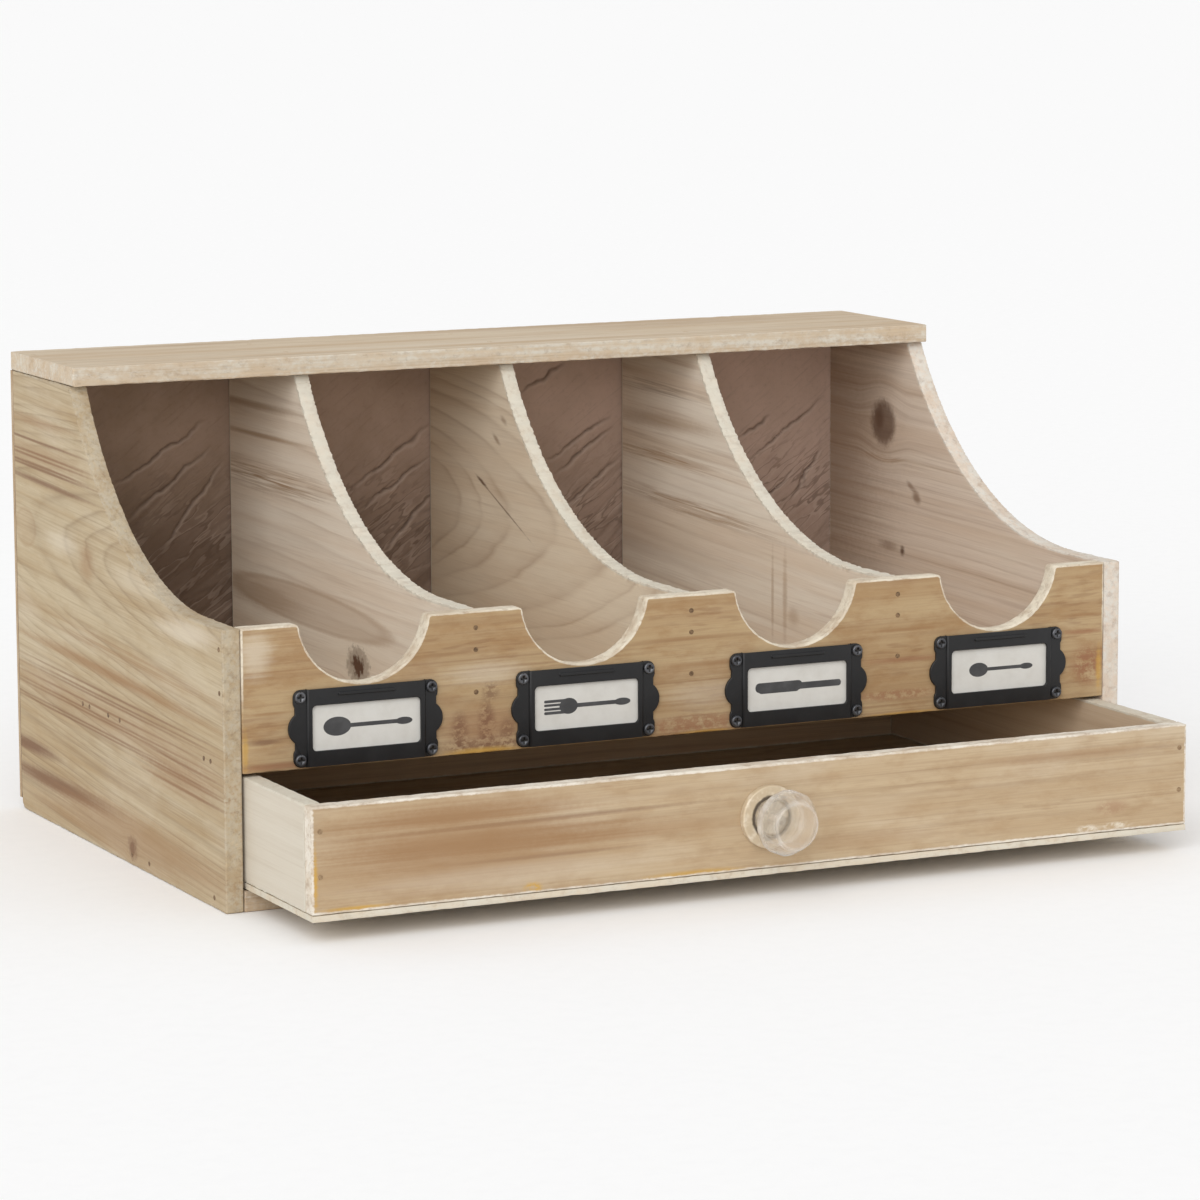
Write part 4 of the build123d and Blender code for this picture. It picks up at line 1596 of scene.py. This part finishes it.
@dataclass
class Studio:
    """A pale floor, soft light and a camera at the photograph's angle, in metres and degrees."""

    azimuth: float = -25.907
    elevation: float = 8.688
    roll: float = -0.233
    distance: float = 2.255419
    shift_right: float = 0.017673
    shift_up: float = 0.101796
    focal_share: float = 4732.209 / 1200
    sensor: float = 36.0
    sight: float = 100.0
    floor_reach: float = 30.0
    sky: float = 0.76
    sun: float = 1.6
    sun_width: float = 50.0
    sun_way: tuple[float, float, float] = (0.55, 0.66, -0.5)

    def build(self) -> None:
        """Make the floor, the light and the camera."""
        bpy.context.scene.view_settings.view_transform = "Standard"
        self._floor()
        self._light()
        self._camera()

    def _floor(self) -> None:
        """A wide pale floor under the caddy."""
        shape = bmesh.new()
        bmesh.ops.create_grid(shape, x_segments=1, y_segments=1, size=self.floor_reach)
        mesh = bpy.data.meshes.new("floor")
        shape.to_mesh(mesh)
        shape.free()
        finish = CoatFinish("pale_floor", paint(250, 250, 250), paint(248, 248, 248), 0.9, 0.01, 40.0)
        mesh.materials.append(finish.material())
        floor = bpy.data.objects.new("floor", mesh)
        bpy.context.scene.collection.objects.link(floor)

    def _light(self) -> None:
        """White surroundings and a broad soft light from the front left."""
        world = bpy.data.worlds.new("studio")
        bpy.context.scene.world = world
        world.use_nodes = True
        sky = world.node_tree.nodes["Background"]
        sky.inputs["Color"].default_value = (1.0, 1.0, 1.0, 1.0)
        sky.inputs["Strength"].default_value = self.sky
        lamp = bpy.data.lights.new("key", "SUN")
        lamp.energy = self.sun
        lamp.angle = math.radians(self.sun_width)
        key = bpy.data.objects.new("key", lamp)
        key.rotation_euler = Vector(self.sun_way).to_track_quat("-Z", "Y").to_euler()
        bpy.context.scene.collection.objects.link(key)

    def _camera(self) -> None:
        """The camera where the photograph was taken from."""
        turn, tilt, roll = (math.radians(angle) for angle in (self.azimuth, self.elevation, self.roll))
        back = Vector((math.sin(turn) * math.cos(tilt), -math.cos(turn) * math.cos(tilt), math.sin(tilt)))
        level = Vector((math.cos(turn), math.sin(turn), 0))
        rise = back.cross(level)
        right = math.cos(roll) * level + math.sin(roll) * rise
        up = math.cos(roll) * rise - math.sin(roll) * level
        lens = bpy.data.cameras.new("camera")
        lens.sensor_width = self.sensor
        lens.lens = self.focal_share * self.sensor
        lens.clip_end = self.sight
        camera = bpy.data.objects.new("camera", lens)
        place = back * self.distance + right * self.shift_right + up * self.shift_up
        camera.matrix_world = Matrix.Translation(place) @ Matrix((right, up, back)).transposed().to_4x4()
        bpy.context.scene.collection.objects.link(camera)
        bpy.context.scene.camera = camera


def main() -> None:
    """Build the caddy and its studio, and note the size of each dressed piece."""
    logging.basicConfig(level=logging.INFO, format="%(message)s")
    noise.seed_set(WEAR_SEED)
    for assembly in (Studio(), Carcass(), Labels(), Drawer()):
        assembly.build()
        LOG.info("%s built", type(assembly).__name__)


if __name__ == "__main__":
    main()
